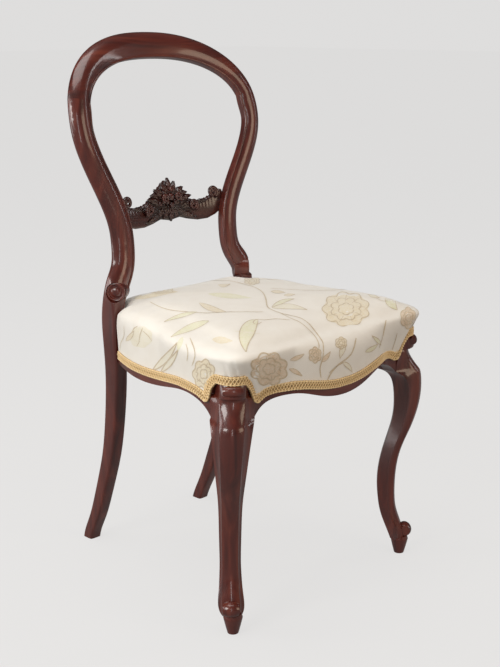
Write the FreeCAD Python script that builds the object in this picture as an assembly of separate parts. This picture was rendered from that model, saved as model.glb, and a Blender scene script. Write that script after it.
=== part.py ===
import FreeCAD, Part
import math
import os
from FreeCAD import Vector

# Balloon back chair: moulded hoop back, carved splat, cabriole front legs, sabre rear legs
# and a stuffed seat on a serpentine frame. Millimetres, +Z up, the front faces -Y.
# The origin is on the floor, midway between the left and right sides and between the
# braid at the middle of the front and the heels of the rear legs.

# Whole chair
overall_height = 880.0
overall_depth = 487.5

# Seat frame, as seen from above
front_corner_x = 213.5          # outer corner of the frame at a front leg, from the middle
front_bow = 27.0                # how far the front swells beyond its corners
front_bow_reach = 105.0         # half width of the swelling, out to where it turns hollow
front_hollow_x = 140.0
front_hollow_depth = 2.5
side_waist_x = 192.0            # half width where the sides start to close in
rail_thickness = 26.0
rail_top = 398.0
corner_radius = 18.0
leg_block = 46.0                # square top of a front leg

# Lower edge of the front and side rails: low in the middle, arched beside the legs
rail_middle_height = 55.5
rail_arch_height = 36.0
rail_end_height = 62.0
back_rail_height = 50.0
back_rail_thickness = 26.0

# Front legs
front_foot_inset = 12.0         # foot centre inside the frame corner, along X and along Y
peg_bottom_radius = 8.5
peg_lead = 1.3
peg_top_radius = 15.0
peg_height = 32.0
toe_radius = 12.0
toe_width = 25.0
toe_reach = 10.3
toe_height = 42.0
ear_scroll_radius = 8.3
ear_scroll_width = 30.0
ear_scroll_reach = 11.5
leg_turn = 5.4                  # most sideways shift of the leg, in its lower half
ear_scroll_drop = 13.0          # scroll centre below the top of the rails

# Rear legs
rear_foot_x = 132.8
rear_foot_size = 22.5
rear_leg_x = 150.0              # leg centre at the seat
rear_leg_width = 25.0
rear_leg_depth = 33.0
rear_leg_y = 132.0              # leg centre at the seat

# Hoop back. The opening is measured at its front arris
opening_half_width = 170.0
opening_widest_height = 745.0
waist_half_width = 102.0
waist_height = 547.0
stile_end_height = 440.0        # the moulded stile has become the square leg here
foot_gather = 1.65
crown_squareness = 2.35
stile_gather = 1.1
crown_width = 46.0
stile_width = 34.0
waist_width = 37.0
stile_foot_width = 38.5
moulding_depth = 25.0
outline_ease = 8.0              # rounding of the outer corner at the back
bead_width = 4.2
roll_depth = 0.74               # share of the depth that the rolled front takes at its outer side
crest_joint_height = 773.0
stile_foot_height = 470.0

# Lean and hollow of the back, at its front face on the middle plane
back_mid_height = 650.0
back_mid_y = 150.25
back_lean = 0.1535              # slope at the mid height
back_sweep = 0.000313           # growth of the slope
back_plan_radius = 607.5

# Roundels on the stile feet
roundel_radius = 16.0
roundel_thickness = 5.0
roundel_turn = 55.0             # degrees outward from straight ahead
roundel_x = 151.5
roundel_back = 8.5              # its middle, behind the front face of the back
boss_margin = 0.8

# Carved splat
splat_thickness = 17.0
splat_sink = 3.0                # front of the board behind the face of the back, at the middle
splat_lean = 0.13
# Across, height, radius and rise of the round masses of the carving
splat_eyes = [(98.0, 609.5, 7.0, 2.5), (50.0, 588.0, 8.0, 3.0), (0.0, 606.0, 17.0, 6.0)]

# Joints of the frame
rail_dowel_diameter = 8.0
rail_dowel_length = 36.0
crest_dowel_diameter = 7.0
crest_dowel_length = 40.0
splat_dowel_diameter = 6.0
splat_dowel_length = 26.0
dowel_clearance = 0.1
dowel_end_space = 0.5
corner_block_leg = 52.0
corner_block_height = 36.0
screw_diameter = 4.5
screw_head_diameter = 9.0
screw_length = 24.0
screw_head_depth = 2.6

# Upholstery
webbing_width = 48.0
webbing_thickness = 1.5
hessian_thickness = 1.0
hessian_inset = 6.0
calico_thickness = 0.8
wadding_thickness = 4.0
cover_thickness = 1.6
gimp_thickness = 2.0
gimp_width = 12.0
seat_crown_height = 468.0
seat_dome_radius = 1570.0
seat_edge_radius = 15.0
gimp_rise_middle = 14.5         # wood showing below the braid at the middle of a rail
gimp_rise_arch = 7.0
leg_window_half = 29.0          # half width of the leg top left bare by the cover
stile_clearance = 0.3

# Places worked out from the sizes above
frame_front = -overall_depth / 2 + gimp_thickness + cover_thickness
corner_y = frame_front + front_bow
foot_x = front_corner_x - front_foot_inset
foot_y = corner_y + front_foot_inset
block_x = front_corner_x - leg_block
block_y = corner_y + leg_block
corner_centre_x = front_corner_x - corner_radius
corner_centre_y = corner_y + corner_radius
rear_foot_y = overall_depth / 2 - rear_foot_size / 2
leg_front_y = rear_leg_y - rear_leg_depth / 2
leg_inner_x = rear_leg_x - rear_leg_width / 2
side_end_x = rear_leg_x + rear_leg_width / 2 - 7.0
back_rail_y = rear_leg_y + rear_leg_depth / 2 - back_rail_thickness - 0.5
hessian_top = rail_top + 2 * webbing_thickness + hessian_thickness
seat_middle_y = (frame_front + back_rail_y + back_rail_thickness) / 2


def wire_of(points):
    """A closed straight-sided wire."""
    return Part.makePolygon(list(points) + [points[0]])


def curve(points, start=None, end=None):
    """One smooth edge through the points, with its end directions where they are given."""
    spline = Part.BSplineCurve()
    if start is None:
        spline.interpolate(Points=points)
    else:
        spline.interpolate(
            Points=points, InitialTangent=start.normalize(), FinalTangent=end.normalize(), Scale=False
        )
    return spline.toShape()


def line(a, b):
    return Part.makeLine(a, b)


def arc(a, b, c):
    return Part.Arc(a, b, c).toShape()


def mirrored(shape):
    """The same piece for the left side of the chair."""
    return shape.mirror(Vector(0, 0, 0), Vector(1, 0, 0))


def rod(start, direction, length, diameter):
    return Part.makeCylinder(diameter / 2, length, start, direction)


# Surface of the back
def back_y(x, z):
    """Front face of the back: it leans further back as it rises and is hollow in plan."""
    h = z - back_mid_height
    return back_mid_y + back_lean * h + back_sweep * h * h - x * x / (2 * back_plan_radius)


def back_normal(x, z):
    h = z - back_mid_height
    slope = back_lean + 2 * back_sweep * h
    return Vector(x / back_plan_radius, 1, -slope).normalize()


crown_slope = back_lean + 2 * back_sweep * (overall_height - back_mid_height)
crown_rake = math.atan(crown_slope)
# The top of the crown is where its rolled front meets its outer face
opening_top = (
    overall_height - crown_width * math.cos(crown_rake)
    + roll_depth * moulding_depth * math.sin(crown_rake)
)


def opening_upper(angle):
    """Front arris of the opening above its widest point; angle 0 is the crown."""
    power = 2 / crown_squareness
    side = math.copysign(abs(math.sin(angle)) ** power, angle)
    rise = (opening_top - opening_widest_height) * math.cos(angle) ** power
    return opening_half_width * side, opening_widest_height + rise


def opening_lower(z):
    """Front arris of the opening below its widest point, in to the waist and out to the foot."""
    if z < waist_height:
        share = (waist_height - z) / (waist_height - stile_end_height)
        share = min(share, 1.0) ** foot_gather
        far = leg_inner_x
    else:
        share = (z - waist_height) / (opening_widest_height - waist_height)
        share = share ** stile_gather
        far = opening_half_width
    ease = 3 * share ** 2 - 2 * share ** 3
    return waist_half_width + (far - waist_half_width) * ease


joint_share = (crest_joint_height - opening_widest_height) / (opening_top - opening_widest_height)
joint_angle = math.acos(joint_share ** (crown_squareness / 2))


def hoop_point(x, z):
    return Vector(x, back_y(x, z), z)


def hoop_frame(here, before, after, width_way):
    """Place and directions of a section across the hoop: outward and backward."""
    along = (after - before).normalize()
    back = back_normal(here.x, here.z)
    out = back.cross(along).normalize()
    if out.dot(width_way) < 0:
        out = out * -1
    back = along.cross(out).normalize()
    if back.y < 0:
        back = back * -1
    return here, out, back


def moulding_section(place, out, back, width, depth, roll):
    """Closed section of seven edges: inner face, bead, rolled front, outer face, round, back, round.

    roll 1 is the full moulding of the hoop, roll 0 the plain square leg with eased corners.
    """
    def at(u, v):
        return place + out * u + back * v

    ease = 4.0 + 6.0 * roll
    outer = 3.0 + (outline_ease - 3.0) * roll
    side_start = 5.0 + (roll_depth * (depth - outline_ease * 0.4) - 5.0) * roll
    p0 = at(0, depth - ease)
    p1 = at(0, 4.0 - 0.8 * roll)
    m1 = at(1.2 + 0.5 * roll, 1.2 + 0.1 * roll)
    p2 = at(4.0 + (bead_width - 4.0) * roll, 3.0 * roll)
    front = [
        p2,
        at(0.42 * width, 0),
        at(0.72 * width, 0.1 + 0.12 * depth * roll),
        at(0.92 * width, 1.1 + 0.38 * depth * roll),
        at(width, side_start),
    ]
    p4 = at(width, depth - outer)
    m4 = at(width - outer * 0.293, depth - outer * 0.293)
    p5 = at(width - outer, depth)
    p6 = at(ease, depth)
    m6 = at(ease * 0.293, depth - ease * 0.293)
    edges = [
        line(p0, p1),
        arc(p1, m1, p2),
        curve(front),
        line(front[-1], p4),
        arc(p4, m4, p5),
        line(p5, p6),
        arc(p6, m6, p0),
    ]
    return Part.Wire(edges)


def crest_section(angle):
    step = 0.01
    x, z = opening_upper(angle)
    ahead = hoop_point(*opening_upper(angle + step))
    behind = hoop_point(*opening_upper(angle - step))
    here = hoop_point(x, z)
    width = stile_width + (crown_width - stile_width) * math.cos(angle) ** 2
    way = Vector(math.sin(angle), 0, math.cos(angle))
    place, out, back = hoop_frame(here, behind, ahead, way)
    return moulding_section(place, out, back, width, moulding_depth, 1.0), place, out, back


def crest_rail():
    shares = [-1.0, -0.82, -0.64, -0.44, -0.22, 0.0, 0.22, 0.44, 0.64, 0.82, 1.0]
    wires = [crest_section(joint_angle * share)[0] for share in shares]
    return Part.makeLoft(wires, True, False)


def stile_section(z, width, roll):
    here = hoop_point(opening_lower(z), z)
    above = hoop_point(opening_lower(z + 2), z + 2)
    below = hoop_point(opening_lower(z - 2), z - 2)
    place, out, back = hoop_frame(here, above, below, Vector(1, 0, 0))
    return moulding_section(place, out, back, width, moulding_depth, roll)


def leg_section(x, y, z, width, depth):
    corner = Vector(x - width / 2, y - depth / 2, z)
    return moulding_section(corner, Vector(1, 0, 0), Vector(0, 1, 0), width, depth, 0.0)


def smooth(stations, share, column):
    """Value of one column at a share of the way, on a smooth curve through the stations."""
    rows = sorted(stations)
    last = len(rows) - 1

    def slope(i):
        low = rows[max(i - 1, 0)]
        high = rows[min(i + 1, last)]
        return (high[column] - low[column]) / (high[0] - low[0])

    i = 0
    while i < last - 1 and share > rows[i + 1][0]:
        i += 1
    a = rows[i]
    b = rows[i + 1]
    gap = b[0] - a[0]
    t = (share - a[0]) / gap
    from_a = (1 + 2 * t) * (1 - t) ** 2 * a[column] + t * (1 - t) ** 2 * gap * slope(i)
    from_b = t * t * (3 - 2 * t) * b[column] - t * t * (1 - t) * gap * slope(i + 1)
    return from_a + from_b


# Height as a share of the rail top, share of the sweep back and share of the way inward
sabre = [
    (0.0, 1.0, 1.0),
    (0.15, 0.735, 0.93),
    (0.25, 0.583, 0.91),
    (0.45, 0.307, 0.77),
    (0.65, 0.130, 0.53),
    (0.83, 0.027, 0.27),
    (1.0, 0.0, 0.0),
]


def rear_leg_stile():
    """Rear leg and hoop side in one piece, right side, with the boss for the roundel."""
    wires = [crest_section(joint_angle)[0]]
    moulded = 7
    for i in range(1, moulded + 1):
        z = crest_joint_height - (crest_joint_height - stile_foot_height - 30) * i / moulded
        share = (z - waist_height) / (opening_widest_height - waist_height)
        wires.append(stile_section(z, waist_width + (stile_width - waist_width) * share, 1.0))
    wires.append(stile_section(stile_foot_height, stile_foot_width, 0.9))
    # The square leg, from the end of the moulding down
    heights = [stile_end_height - 6, rail_top]
    steps = 9
    for i in range(1, steps + 1):
        heights.append(rail_top * (1 - i / steps))
    for z in heights:
        share = min(z / rail_top, 1.0)
        back = smooth(sabre, share, 1)
        inward = smooth(sabre, share, 2)
        width = rear_foot_size + (rear_leg_width - rear_foot_size) * share
        depth = rear_foot_size + (rear_leg_depth - rear_foot_size) * share
        x = rear_leg_x - (rear_leg_x - rear_foot_x) * inward
        y = rear_leg_y + (rear_foot_y - rear_leg_y) * back
        wires.append(leg_section(x, y, z, width, depth))
    solid = Part.makeLoft(wires, True, False)
    centre, facing = roundel_place()
    boss = rod(centre - facing * 22, facing, 22, 2 * (roundel_radius + boss_margin))
    solid = solid.fuse(boss)
    seat = rod(centre, facing, 30, 2 * (roundel_radius + dowel_clearance))
    return solid.cut(seat).removeSplitter()


def roundel_place():
    turn = math.radians(roundel_turn)
    facing = Vector(math.sin(turn), -math.cos(turn), 0)
    centre = Vector(roundel_x, back_y(roundel_x, stile_foot_height) + roundel_back, stile_foot_height)
    return centre - facing * roundel_thickness / 2, facing


def patera():
    """Turned roundel: a ring, a hollow and a domed button."""
    r = roundel_radius
    t = roundel_thickness
    profile = [
        line(Vector(0, 0, 0), Vector(r, 0, 0)),
        line(Vector(r, 0, 0), Vector(r, 0, t * 0.5)),
        arc(Vector(r, 0, t * 0.5), Vector(r * 0.86, 0, t), Vector(r * 0.72, 0, t * 0.5)),
        line(Vector(r * 0.72, 0, t * 0.5), Vector(r * 0.58, 0, t * 0.5)),
        arc(Vector(r * 0.58, 0, t * 0.5), Vector(r * 0.34, 0, t * 1.02), Vector(r * 0.08, 0, t * 1.15)),
        line(Vector(r * 0.08, 0, t * 1.15), Vector(0, 0, t * 1.15)),
        line(Vector(0, 0, t * 1.15), Vector(0, 0, 0)),
    ]
    face = Part.Face(Part.Wire(profile))
    solid = face.revolve(Vector(0, 0, 0), Vector(0, 0, 1), 360)
    centre, facing = roundel_place()
    solid.Placement = FreeCAD.Placement(centre, FreeCAD.Rotation(Vector(0, 0, 1), facing))
    return solid


# Front legs
def diagonal(out, across, z):
    """Point of the right front leg, measured outward along the frame's diagonal and across it."""
    half = math.sqrt(0.5)
    return Vector(foot_x + (out - across) * half, foot_y - (out + across) * half, z)


corner_out = front_foot_inset * math.sqrt(2)
block_half = leg_block / math.sqrt(2)
block_margin = 0.6


def leg_lead(height):
    """Sideways shift of the leg, which sweeps back a little more than it sweeps inward."""
    return leg_turn * math.sin(math.pi * (height / rail_top) ** 0.6)


def front_leg_section(height, ridge, heel, half_width, lateral):
    """Section of six edges: crowned front panel, two hollow flanks, two back faces, eased heel."""
    arris = ridge - (ridge - lateral) * 0.24
    panel = 5.5 + 0.4 * half_width
    hollow_out = (arris + lateral) / 2 - 0.6
    hollow_across = (panel + half_width) / 2 - 1.1
    ease = min(4.0, half_width * 0.2)
    lead = leg_lead(height)

    def at(out, across):
        return diagonal(out, across - lead, height)

    edges = [
        arc(at(lateral, -half_width), at(hollow_out, -hollow_across), at(arris, -panel)),
        arc(at(arris, -panel), at(ridge, 0), at(arris, panel)),
        arc(at(arris, panel), at(hollow_out, hollow_across), at(lateral, half_width)),
        line(at(lateral, half_width), at(heel, ease)),
        line(at(heel, ease), at(heel, -ease)),
        line(at(heel, -ease), at(lateral, -half_width)),
    ]
    return Part.Wire(edges)


def front_leg():
    """Cabriole leg, right side: peg foot, rolled toe, ankle, knee, neck and scrolled ear."""
    wide = block_half + block_margin
    block_lateral = corner_out - wide
    block_heel = corner_out - 2 * wide
    # Height as a share of the rail top, ridge, heel, half width and place of the side arrises
    stations = [
        (0.065, 12.0, -14.5, 14.5, -1.0),
        (0.105, 7.0, -20.5, 20.0, -6.0),
        (0.155, 1.0, -28.5, 18.5, -12.5),
        (0.205, -5.5, -34.5, 17.0, -20.0),
        (0.290, -9.0, -39.0, 16.3, -24.0),
        (0.375, -8.0, -39.0, 17.0, -23.5),
        (0.470, -1.5, -32.5, 17.8, -17.5),
        (0.575, 14.3, -20.8, 20.5, -4.0),
        (0.685, 27.2, -14.8, 25.0, 5.0),
        (0.765, 30.2, -17.5, 28.5, 5.5),
        (0.820, 28.5, -28.0, 31.5, -2.0),
        (0.845, 24.0, block_heel, wide, block_lateral),
        (0.885, 12.5, block_heel, wide, block_lateral),
        (0.925, 6.0, block_heel, wide, block_lateral),
        (1.0, 6.5, block_heel, wide, block_lateral),
    ]
    wires = []
    for share, ridge, heel, half_width, lateral in stations:
        wires.append(front_leg_section(share * rail_top, ridge, heel, half_width, lateral))
    leg = Part.makeLoft(wires, True, False)
    # Flat faces where the rails seat
    low = rail_top - rail_end_height - 4
    reach = 60.0
    height = rail_top - low + 10
    leg = leg.cut(Part.makeBox(reach, 2 * reach, height, Vector(block_x - reach, corner_y - 20, low)))
    leg = leg.cut(Part.makeBox(2 * reach, reach, height, Vector(block_x - 20, block_y, low)))
    across = (diagonal(0, 1, 0) - diagonal(0, 0, 0)).normalize()
    ear_z = rail_top - ear_scroll_drop
    ear = diagonal(ear_scroll_reach, 0, ear_z)
    leg = leg.fuse(barrel(ear, across, ear_scroll_radius, ear_scroll_width))
    toe = diagonal(toe_reach, -leg_lead(toe_height), toe_height)
    leg = leg.fuse(barrel(toe, across, toe_radius, toe_width))
    leg = leg.fuse(peg())
    return leg.removeSplitter()


def barrel(middle, across, r, width):
    """Roll with swelling sides, such as a scroll's eye or the rolled toe."""
    half = width / 2
    end = r * 0.68
    profile = [
        line(Vector(0, 0, -half), Vector(end, 0, -half)),
        arc(Vector(end, 0, -half), Vector(r, 0, 0), Vector(end, 0, half)),
        line(Vector(end, 0, half), Vector(0, 0, half)),
        line(Vector(0, 0, half), Vector(0, 0, -half)),
    ]
    roll = Part.Face(Part.Wire(profile)).revolve(Vector(0, 0, 0), Vector(0, 0, 1), 360)
    roll.Placement = FreeCAD.Placement(middle, FreeCAD.Rotation(Vector(0, 0, 1), across))
    return roll


def peg():
    waist = peg_bottom_radius + (peg_top_radius - peg_bottom_radius) * 0.4
    profile = [
        line(Vector(0, 0, 0), Vector(peg_bottom_radius, 0, 0)),
        arc(
            Vector(peg_bottom_radius, 0, 0),
            Vector(waist, 0, peg_height * 0.3),
            Vector(peg_top_radius, 0, peg_height * 0.8),
        ),
        line(Vector(peg_top_radius, 0, peg_height * 0.8), Vector(peg_top_radius * 0.9, 0, peg_height)),
        line(Vector(peg_top_radius * 0.9, 0, peg_height), Vector(0, 0, peg_height)),
        line(Vector(0, 0, peg_height), Vector(0, 0, 0)),
    ]
    face = Part.Face(Part.Wire(profile))
    solid = face.revolve(Vector(0, 0, 0), Vector(0, 0, 1), 360)
    solid.translate(diagonal(1.5, -peg_lead, 0))
    return solid


# Outline of the seat frame from above
def front_edge(grow, z):
    """Swelling front between the two rounded corners."""
    hollow_y = corner_y + front_hollow_depth - grow
    shoulder_y = corner_y - front_bow * 0.55 - grow
    half = [
        (front_bow_reach * 0.52, frame_front + front_bow * 0.10 - grow),
        (front_bow_reach, shoulder_y + front_bow * 0.07),
        (front_hollow_x, hollow_y),
        (corner_centre_x, corner_y - grow),
    ]
    right = [Vector(x, y, z) for x, y in half]
    left = [Vector(-x, y, z) for x, y in reversed(half)]
    points = left + [Vector(0, frame_front - grow, z)] + right
    return curve(points, Vector(1, 0.0, 0), Vector(1, 0.0, 0))


def side_edge(grow, z):
    """Right side from the rounded front corner to the rear leg."""
    waist_y = seat_middle_y - 8.0
    points = [
        Vector(front_corner_x + grow, corner_centre_y, z),
        Vector(front_corner_x - 6.0 + grow, corner_y + 108, z),
        Vector(side_waist_x + grow, waist_y + 22.0, z),
        Vector((side_waist_x + side_end_x) / 2 + 4.5 + grow, (waist_y + 22 + leg_front_y) / 2 + 8, z),
        Vector(side_end_x + grow, leg_front_y, z),
    ]
    return curve(points, Vector(0, 1, 0), Vector(-0.42, 1, 0))


def seat_outline(grow, z):
    """Closed outline of the upholstered seat, grown outward from the wooden frame."""
    r = corner_radius
    cx = corner_centre_x
    cy = corner_centre_y
    rear = back_rail_y + back_rail_thickness + grow
    round_out = (r + grow) * math.sqrt(0.5)
    right_arc = arc(
        Vector(cx, corner_y - grow, z),
        Vector(cx + round_out, cy - round_out, z),
        Vector(front_corner_x + grow, cy, z),
    )
    right_side = side_edge(grow, z)
    right_end = Vector(side_end_x + grow, leg_front_y, z)
    rear_right = Vector(side_end_x - 12.0 + grow, rear, z)
    rear_left = Vector(-rear_right.x, rear, z)
    left_end = Vector(-right_end.x, leg_front_y, z)
    edges = [
        front_edge(grow, z),
        right_arc,
        right_side,
        line(right_end, rear_right),
        line(rear_right, rear_left),
        line(rear_left, left_end),
        mirrored(right_side),
        mirrored(right_arc),
    ]
    return Part.Wire(Part.__sortEdges__(edges))


def region(lower, upper, start, along, across, depth):
    """Solid between a shaped lower edge and an upper edge, both lists of (distance, height)."""
    def at(point):
        return start + along * point[0] + Vector(0, 0, point[1])

    low = curve([at(p) for p in lower])
    if len(upper) == 2:
        high = line(at(upper[0]), at(upper[1]))
    else:
        high = curve([at(p) for p in upper])
    ends = [line(at(lower[0]), at(upper[0])), line(at(lower[-1]), at(upper[-1]))]
    wire = Part.Wire(Part.__sortEdges__([low, high] + ends))
    return Part.Face(wire).extrude(across * depth)


front_lower = [
    (-block_x, rail_top - rail_end_height),
    (-block_x + 16.0, rail_top - rail_arch_height - 12.5),
    (-front_hollow_x + 12.0, rail_top - rail_arch_height - 3.0),
    (-front_bow_reach + 7, rail_top - rail_arch_height),
    (-50.0, rail_top - rail_middle_height + 7),
    (0.0, rail_top - rail_middle_height),
    (50.0, rail_top - rail_middle_height + 7),
    (front_bow_reach - 7, rail_top - rail_arch_height),
    (front_hollow_x - 12.0, rail_top - rail_arch_height - 3.0),
    (block_x - 16.0, rail_top - rail_arch_height - 12.5),
    (block_x, rail_top - rail_end_height),
]

side_lower = [
    (block_y, rail_top - rail_end_height),
    (block_y + 17.0, rail_top - rail_arch_height - 10.0),
    (block_y + 38.0, rail_top - rail_arch_height - 2.0),
    (block_y + 68.0, rail_top - rail_arch_height + 0.5),
    (block_y + 125.0, rail_top - rail_middle_height + 11.0),
    (block_y + 185.0, rail_top - rail_middle_height + 4.5),
    (block_y + 232.0, rail_top - rail_middle_height + 5.5),
    (leg_front_y, rail_top - rail_middle_height + 9.0),
]


def raised(points, rise_middle, rise_arch):
    """The lower edge lifted by a rise that changes with the arch: more at the middle."""
    low = rail_top - rail_middle_height
    high = rail_top - rail_arch_height
    lifted = []
    for distance, z in points:
        share = max(0.0, min((z - low) / (high - low), 1.0))
        lifted.append((distance, z + rise_middle + (rise_arch - rise_middle) * share))
    return lifted


def above_edge(points):
    """Flat upper edge over a list of points."""
    return [(points[0][0], rail_top + 60), (points[-1][0], rail_top + 60)]


def below_edge(points):
    return [(points[0][0], rail_top - 130), (points[-1][0], rail_top - 130)]


def rail_from_plan(outer, shift, shaped):
    """Rail of even thickness along its outer plan curve, cut to its shaped lower edge."""
    inner = outer.copy()
    inner.translate(shift)
    ends = [
        line(outer.Vertexes[-1].Point, inner.Vertexes[-1].Point),
        line(outer.Vertexes[0].Point, inner.Vertexes[0].Point),
    ]
    plan = Part.Face(Part.Wire(Part.__sortEdges__([outer, inner] + ends)))
    return plan.extrude(Vector(0, 0, rail_top)).common(shaped)


def front_region(lower, upper):
    start = Vector(0, frame_front - 20, 0)
    return region(lower, upper, start, Vector(1, 0, 0), Vector(0, 1, 0), 90)


def side_region(lower, upper):
    start = Vector(side_end_x - 50, 0, 0)
    return region(lower, upper, start, Vector(0, 1, 0), Vector(1, 0, 0), 150)


def front_seat_rail():
    shaped = front_region(front_lower, above_edge(front_lower))
    return rail_from_plan(front_edge(0, 0), Vector(0, rail_thickness, 0), shaped)


def side_seat_rail():
    shaped = side_region(side_lower, above_edge(side_lower))
    return rail_from_plan(side_edge(0, 0), Vector(-rail_thickness, 0, 0), shaped)


def back_seat_rail():
    low = rail_top - back_rail_height
    return Part.makeBox(
        2 * leg_inner_x, back_rail_thickness, back_rail_height, Vector(-leg_inner_x, back_rail_y, low)
    )


# Carved splat: pointed leaf mass in the middle, a scroll rising against each stile
splat_top = [(0.0, 641.0), (12.0, 628.0), (30.0, 617.0), (49.0, 600.0), (67.0, 595.5), (84.0, 594.0)]
splat_scroll = [(84.0, 594.0), (88.0, 603.0), (90.0, 612.0), (99.0, 618.5), (109.0, 617.5), (118.0, 612.0)]
splat_foot = [(118.0, 580.0), (101.0, 570.0), (83.0, 564.0), (61.0, 563.5), (41.0, 567.0), (21.0, 575.0)]
splat_tuft = [(21.0, 575.0), (10.0, 571.5), (0.0, 569.5)]
splat_mid_height = 595.0


def splat_point(x, z):
    y = back_y(0, splat_mid_height) + splat_sink + splat_lean * (z - splat_mid_height)
    return Vector(x, y, z)


def carved_splat(stiles):
    half = []
    for points in (splat_top, splat_scroll, splat_foot, splat_tuft):
        half.append(curve([splat_point(x, z) for x, z in points]))
    end = line(splat_point(*splat_scroll[-1]), splat_point(*splat_foot[0]))
    half.append(end)
    outline = half + [mirrored(edge) for edge in half]
    board = Part.Face(Part.Wire(Part.__sortEdges__(outline))).extrude(Vector(0, splat_thickness, 0))
    # Leaf mass and scroll eyes standing proud of the board
    for x, z, radius, rise in splat_eyes:
        for side in (1, -1):
            if x > 0 or side > 0:
                centre = splat_point(x * side, z) + Vector(0, -rise, 0)
                board = board.fuse(rod(centre, Vector(0, 1, 0), rise + splat_thickness / 2, 2 * radius))
    board = board.cut(Part.makeCompound(stiles))
    parts = sorted(board.Solids, key=lambda solid: solid.Volume)
    return parts[-1].removeSplitter()


def splat_dowels():
    middle = (splat_scroll[-1][1] + splat_foot[0][1]) / 2
    pins = []
    for side in (1, -1):
        start = splat_point(side * (waist_half_width - splat_dowel_length / 2 + 2), middle)
        start = start + Vector(0, splat_thickness * 0.3, 0)
        pins.append(rod(start, Vector(side, 0, 0), splat_dowel_length, splat_dowel_diameter))
    return pins


def crest_dowels():
    pins = []
    for side in (1, -1):
        section, place, out, back = crest_section(joint_angle * side)
        along = out.cross(back).normalize()
        for share in (0.3, 0.68):
            middle = place + out * (stile_width * share) + back * (moulding_depth * 0.55)
            pins.append(rod(middle - along * (crest_dowel_length / 2), along, crest_dowel_length,
                            crest_dowel_diameter))
    return pins


def rail_dowels():
    """Two dowels at each end of each rail."""
    half = rail_dowel_length / 2
    right = []
    low = rail_top - 33.0
    high = rail_top - 13.0
    front_y = corner_y + rail_thickness / 2
    side_x = front_corner_x - rail_thickness / 2
    rear_x = (side_end_x + leg_inner_x) / 2
    rear_y = back_rail_y + back_rail_thickness - 8.0
    for z in (low, high):
        right.append(rod(Vector(block_x - half, front_y, z), Vector(1, 0, 0), rail_dowel_length,
                         rail_dowel_diameter))
        right.append(rod(Vector(side_x, block_y - half, z), Vector(0, 1, 0), rail_dowel_length,
                         rail_dowel_diameter))
        right.append(rod(Vector(rear_x, leg_front_y - half - 5, z), Vector(0, 1, 0), rail_dowel_length,
                         rail_dowel_diameter))
        right.append(rod(Vector(leg_inner_x - half - 4, rear_y, z), Vector(1, 0, 0), rail_dowel_length,
                         rail_dowel_diameter))
    return right + [mirrored(pin) for pin in right]


def bored(shape, pins, diameter, length):
    """The shape with a hole for each pin, a little wider and longer than the pin."""
    holes = []
    for pin in pins:
        if pin.BoundBox.intersect(shape.BoundBox):
            cylinder = [f for f in pin.Faces if isinstance(f.Surface, Part.Cylinder)][0].Surface
            axis = cylinder.Axis
            middle = pin.CenterOfMass
            reach = length / 2 + dowel_end_space
            holes.append(rod(middle - axis * reach, axis, 2 * reach, diameter + 2 * dowel_clearance))
    if not holes:
        return shape
    return shape.cut(Part.makeCompound(holes))


def corner_block(corner, toward_x, toward_y, around):
    """Triangular block in an inner corner of the frame, coped to what stands there."""
    length = corner_block_leg
    sunk = 14.0
    top = rail_top - 6.0
    a = corner + Vector(-toward_x * sunk, -toward_y * sunk, 0)
    b = corner + Vector(toward_x * length, -toward_y * sunk, 0)
    c = corner + Vector(toward_x * length, 0, 0)
    d = corner + Vector(0, toward_y * length, 0)
    e = corner + Vector(-toward_x * sunk, toward_y * length, 0)
    block = Part.Face(wire_of([a, b, c, d, e])).extrude(Vector(0, 0, corner_block_height))
    block.translate(Vector(0, 0, top - corner_block_height))
    block = block.cut(Part.makeCompound(around))
    return sorted(block.Solids, key=lambda solid: solid.Volume)[-1]


def wood_screw(head, direction):
    """Countersunk screw with its head at a point, driven along a direction."""
    r = screw_diameter / 2
    profile = wire_of([
        Vector(0, 0, 0),
        Vector(screw_head_diameter / 2, 0, 0),
        Vector(r, 0, screw_head_depth),
        Vector(r, 0, screw_length - 2 * r),
        Vector(0, 0, screw_length),
    ])
    screw = Part.Face(profile).revolve(Vector(0, 0, 0), Vector(0, 0, 1), 360)
    screw.Placement = FreeCAD.Placement(head, FreeCAD.Rotation(Vector(0, 0, 1), direction))
    return screw


# Upholstery
def face_y(x):
    """Front face of the frame at a distance from the middle."""
    ray = line(Vector(x, frame_front - 50, 0), Vector(x, 0, 0))
    return front_edge(0, 0).distToShape(ray)[1][0][0].y


def face_x(y):
    """Outer face of the right side rail."""
    ray = line(Vector(0, y, 0), Vector(front_corner_x + 50, y, 0))
    return side_edge(0, 0).distToShape(ray)[1][0][0].x


webbing_edge = 8.0


def webbing_front_to_back():
    strips = []
    for i in range(4):
        x = (i - 1.5) * 66.0
        outer = abs(x) + webbing_width / 2
        start = face_y(outer) + webbing_edge
        end = back_rail_y + back_rail_thickness - webbing_edge
        strips.append(Part.makeBox(webbing_width, end - start, webbing_thickness,
                                   Vector(x - webbing_width / 2, start, rail_top)))
    return strips


def webbing_side_to_side():
    strips = []
    for i in range(4):
        y = seat_middle_y + (i - 1.5) * 70.0 - 4.0
        half = min(face_x(y + webbing_width / 2), face_x(y - webbing_width / 2)) - webbing_edge
        strips.append(Part.makeBox(2 * half, webbing_width, webbing_thickness,
                                   Vector(-half, y - webbing_width / 2, rail_top + webbing_thickness)))
    return strips


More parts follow.
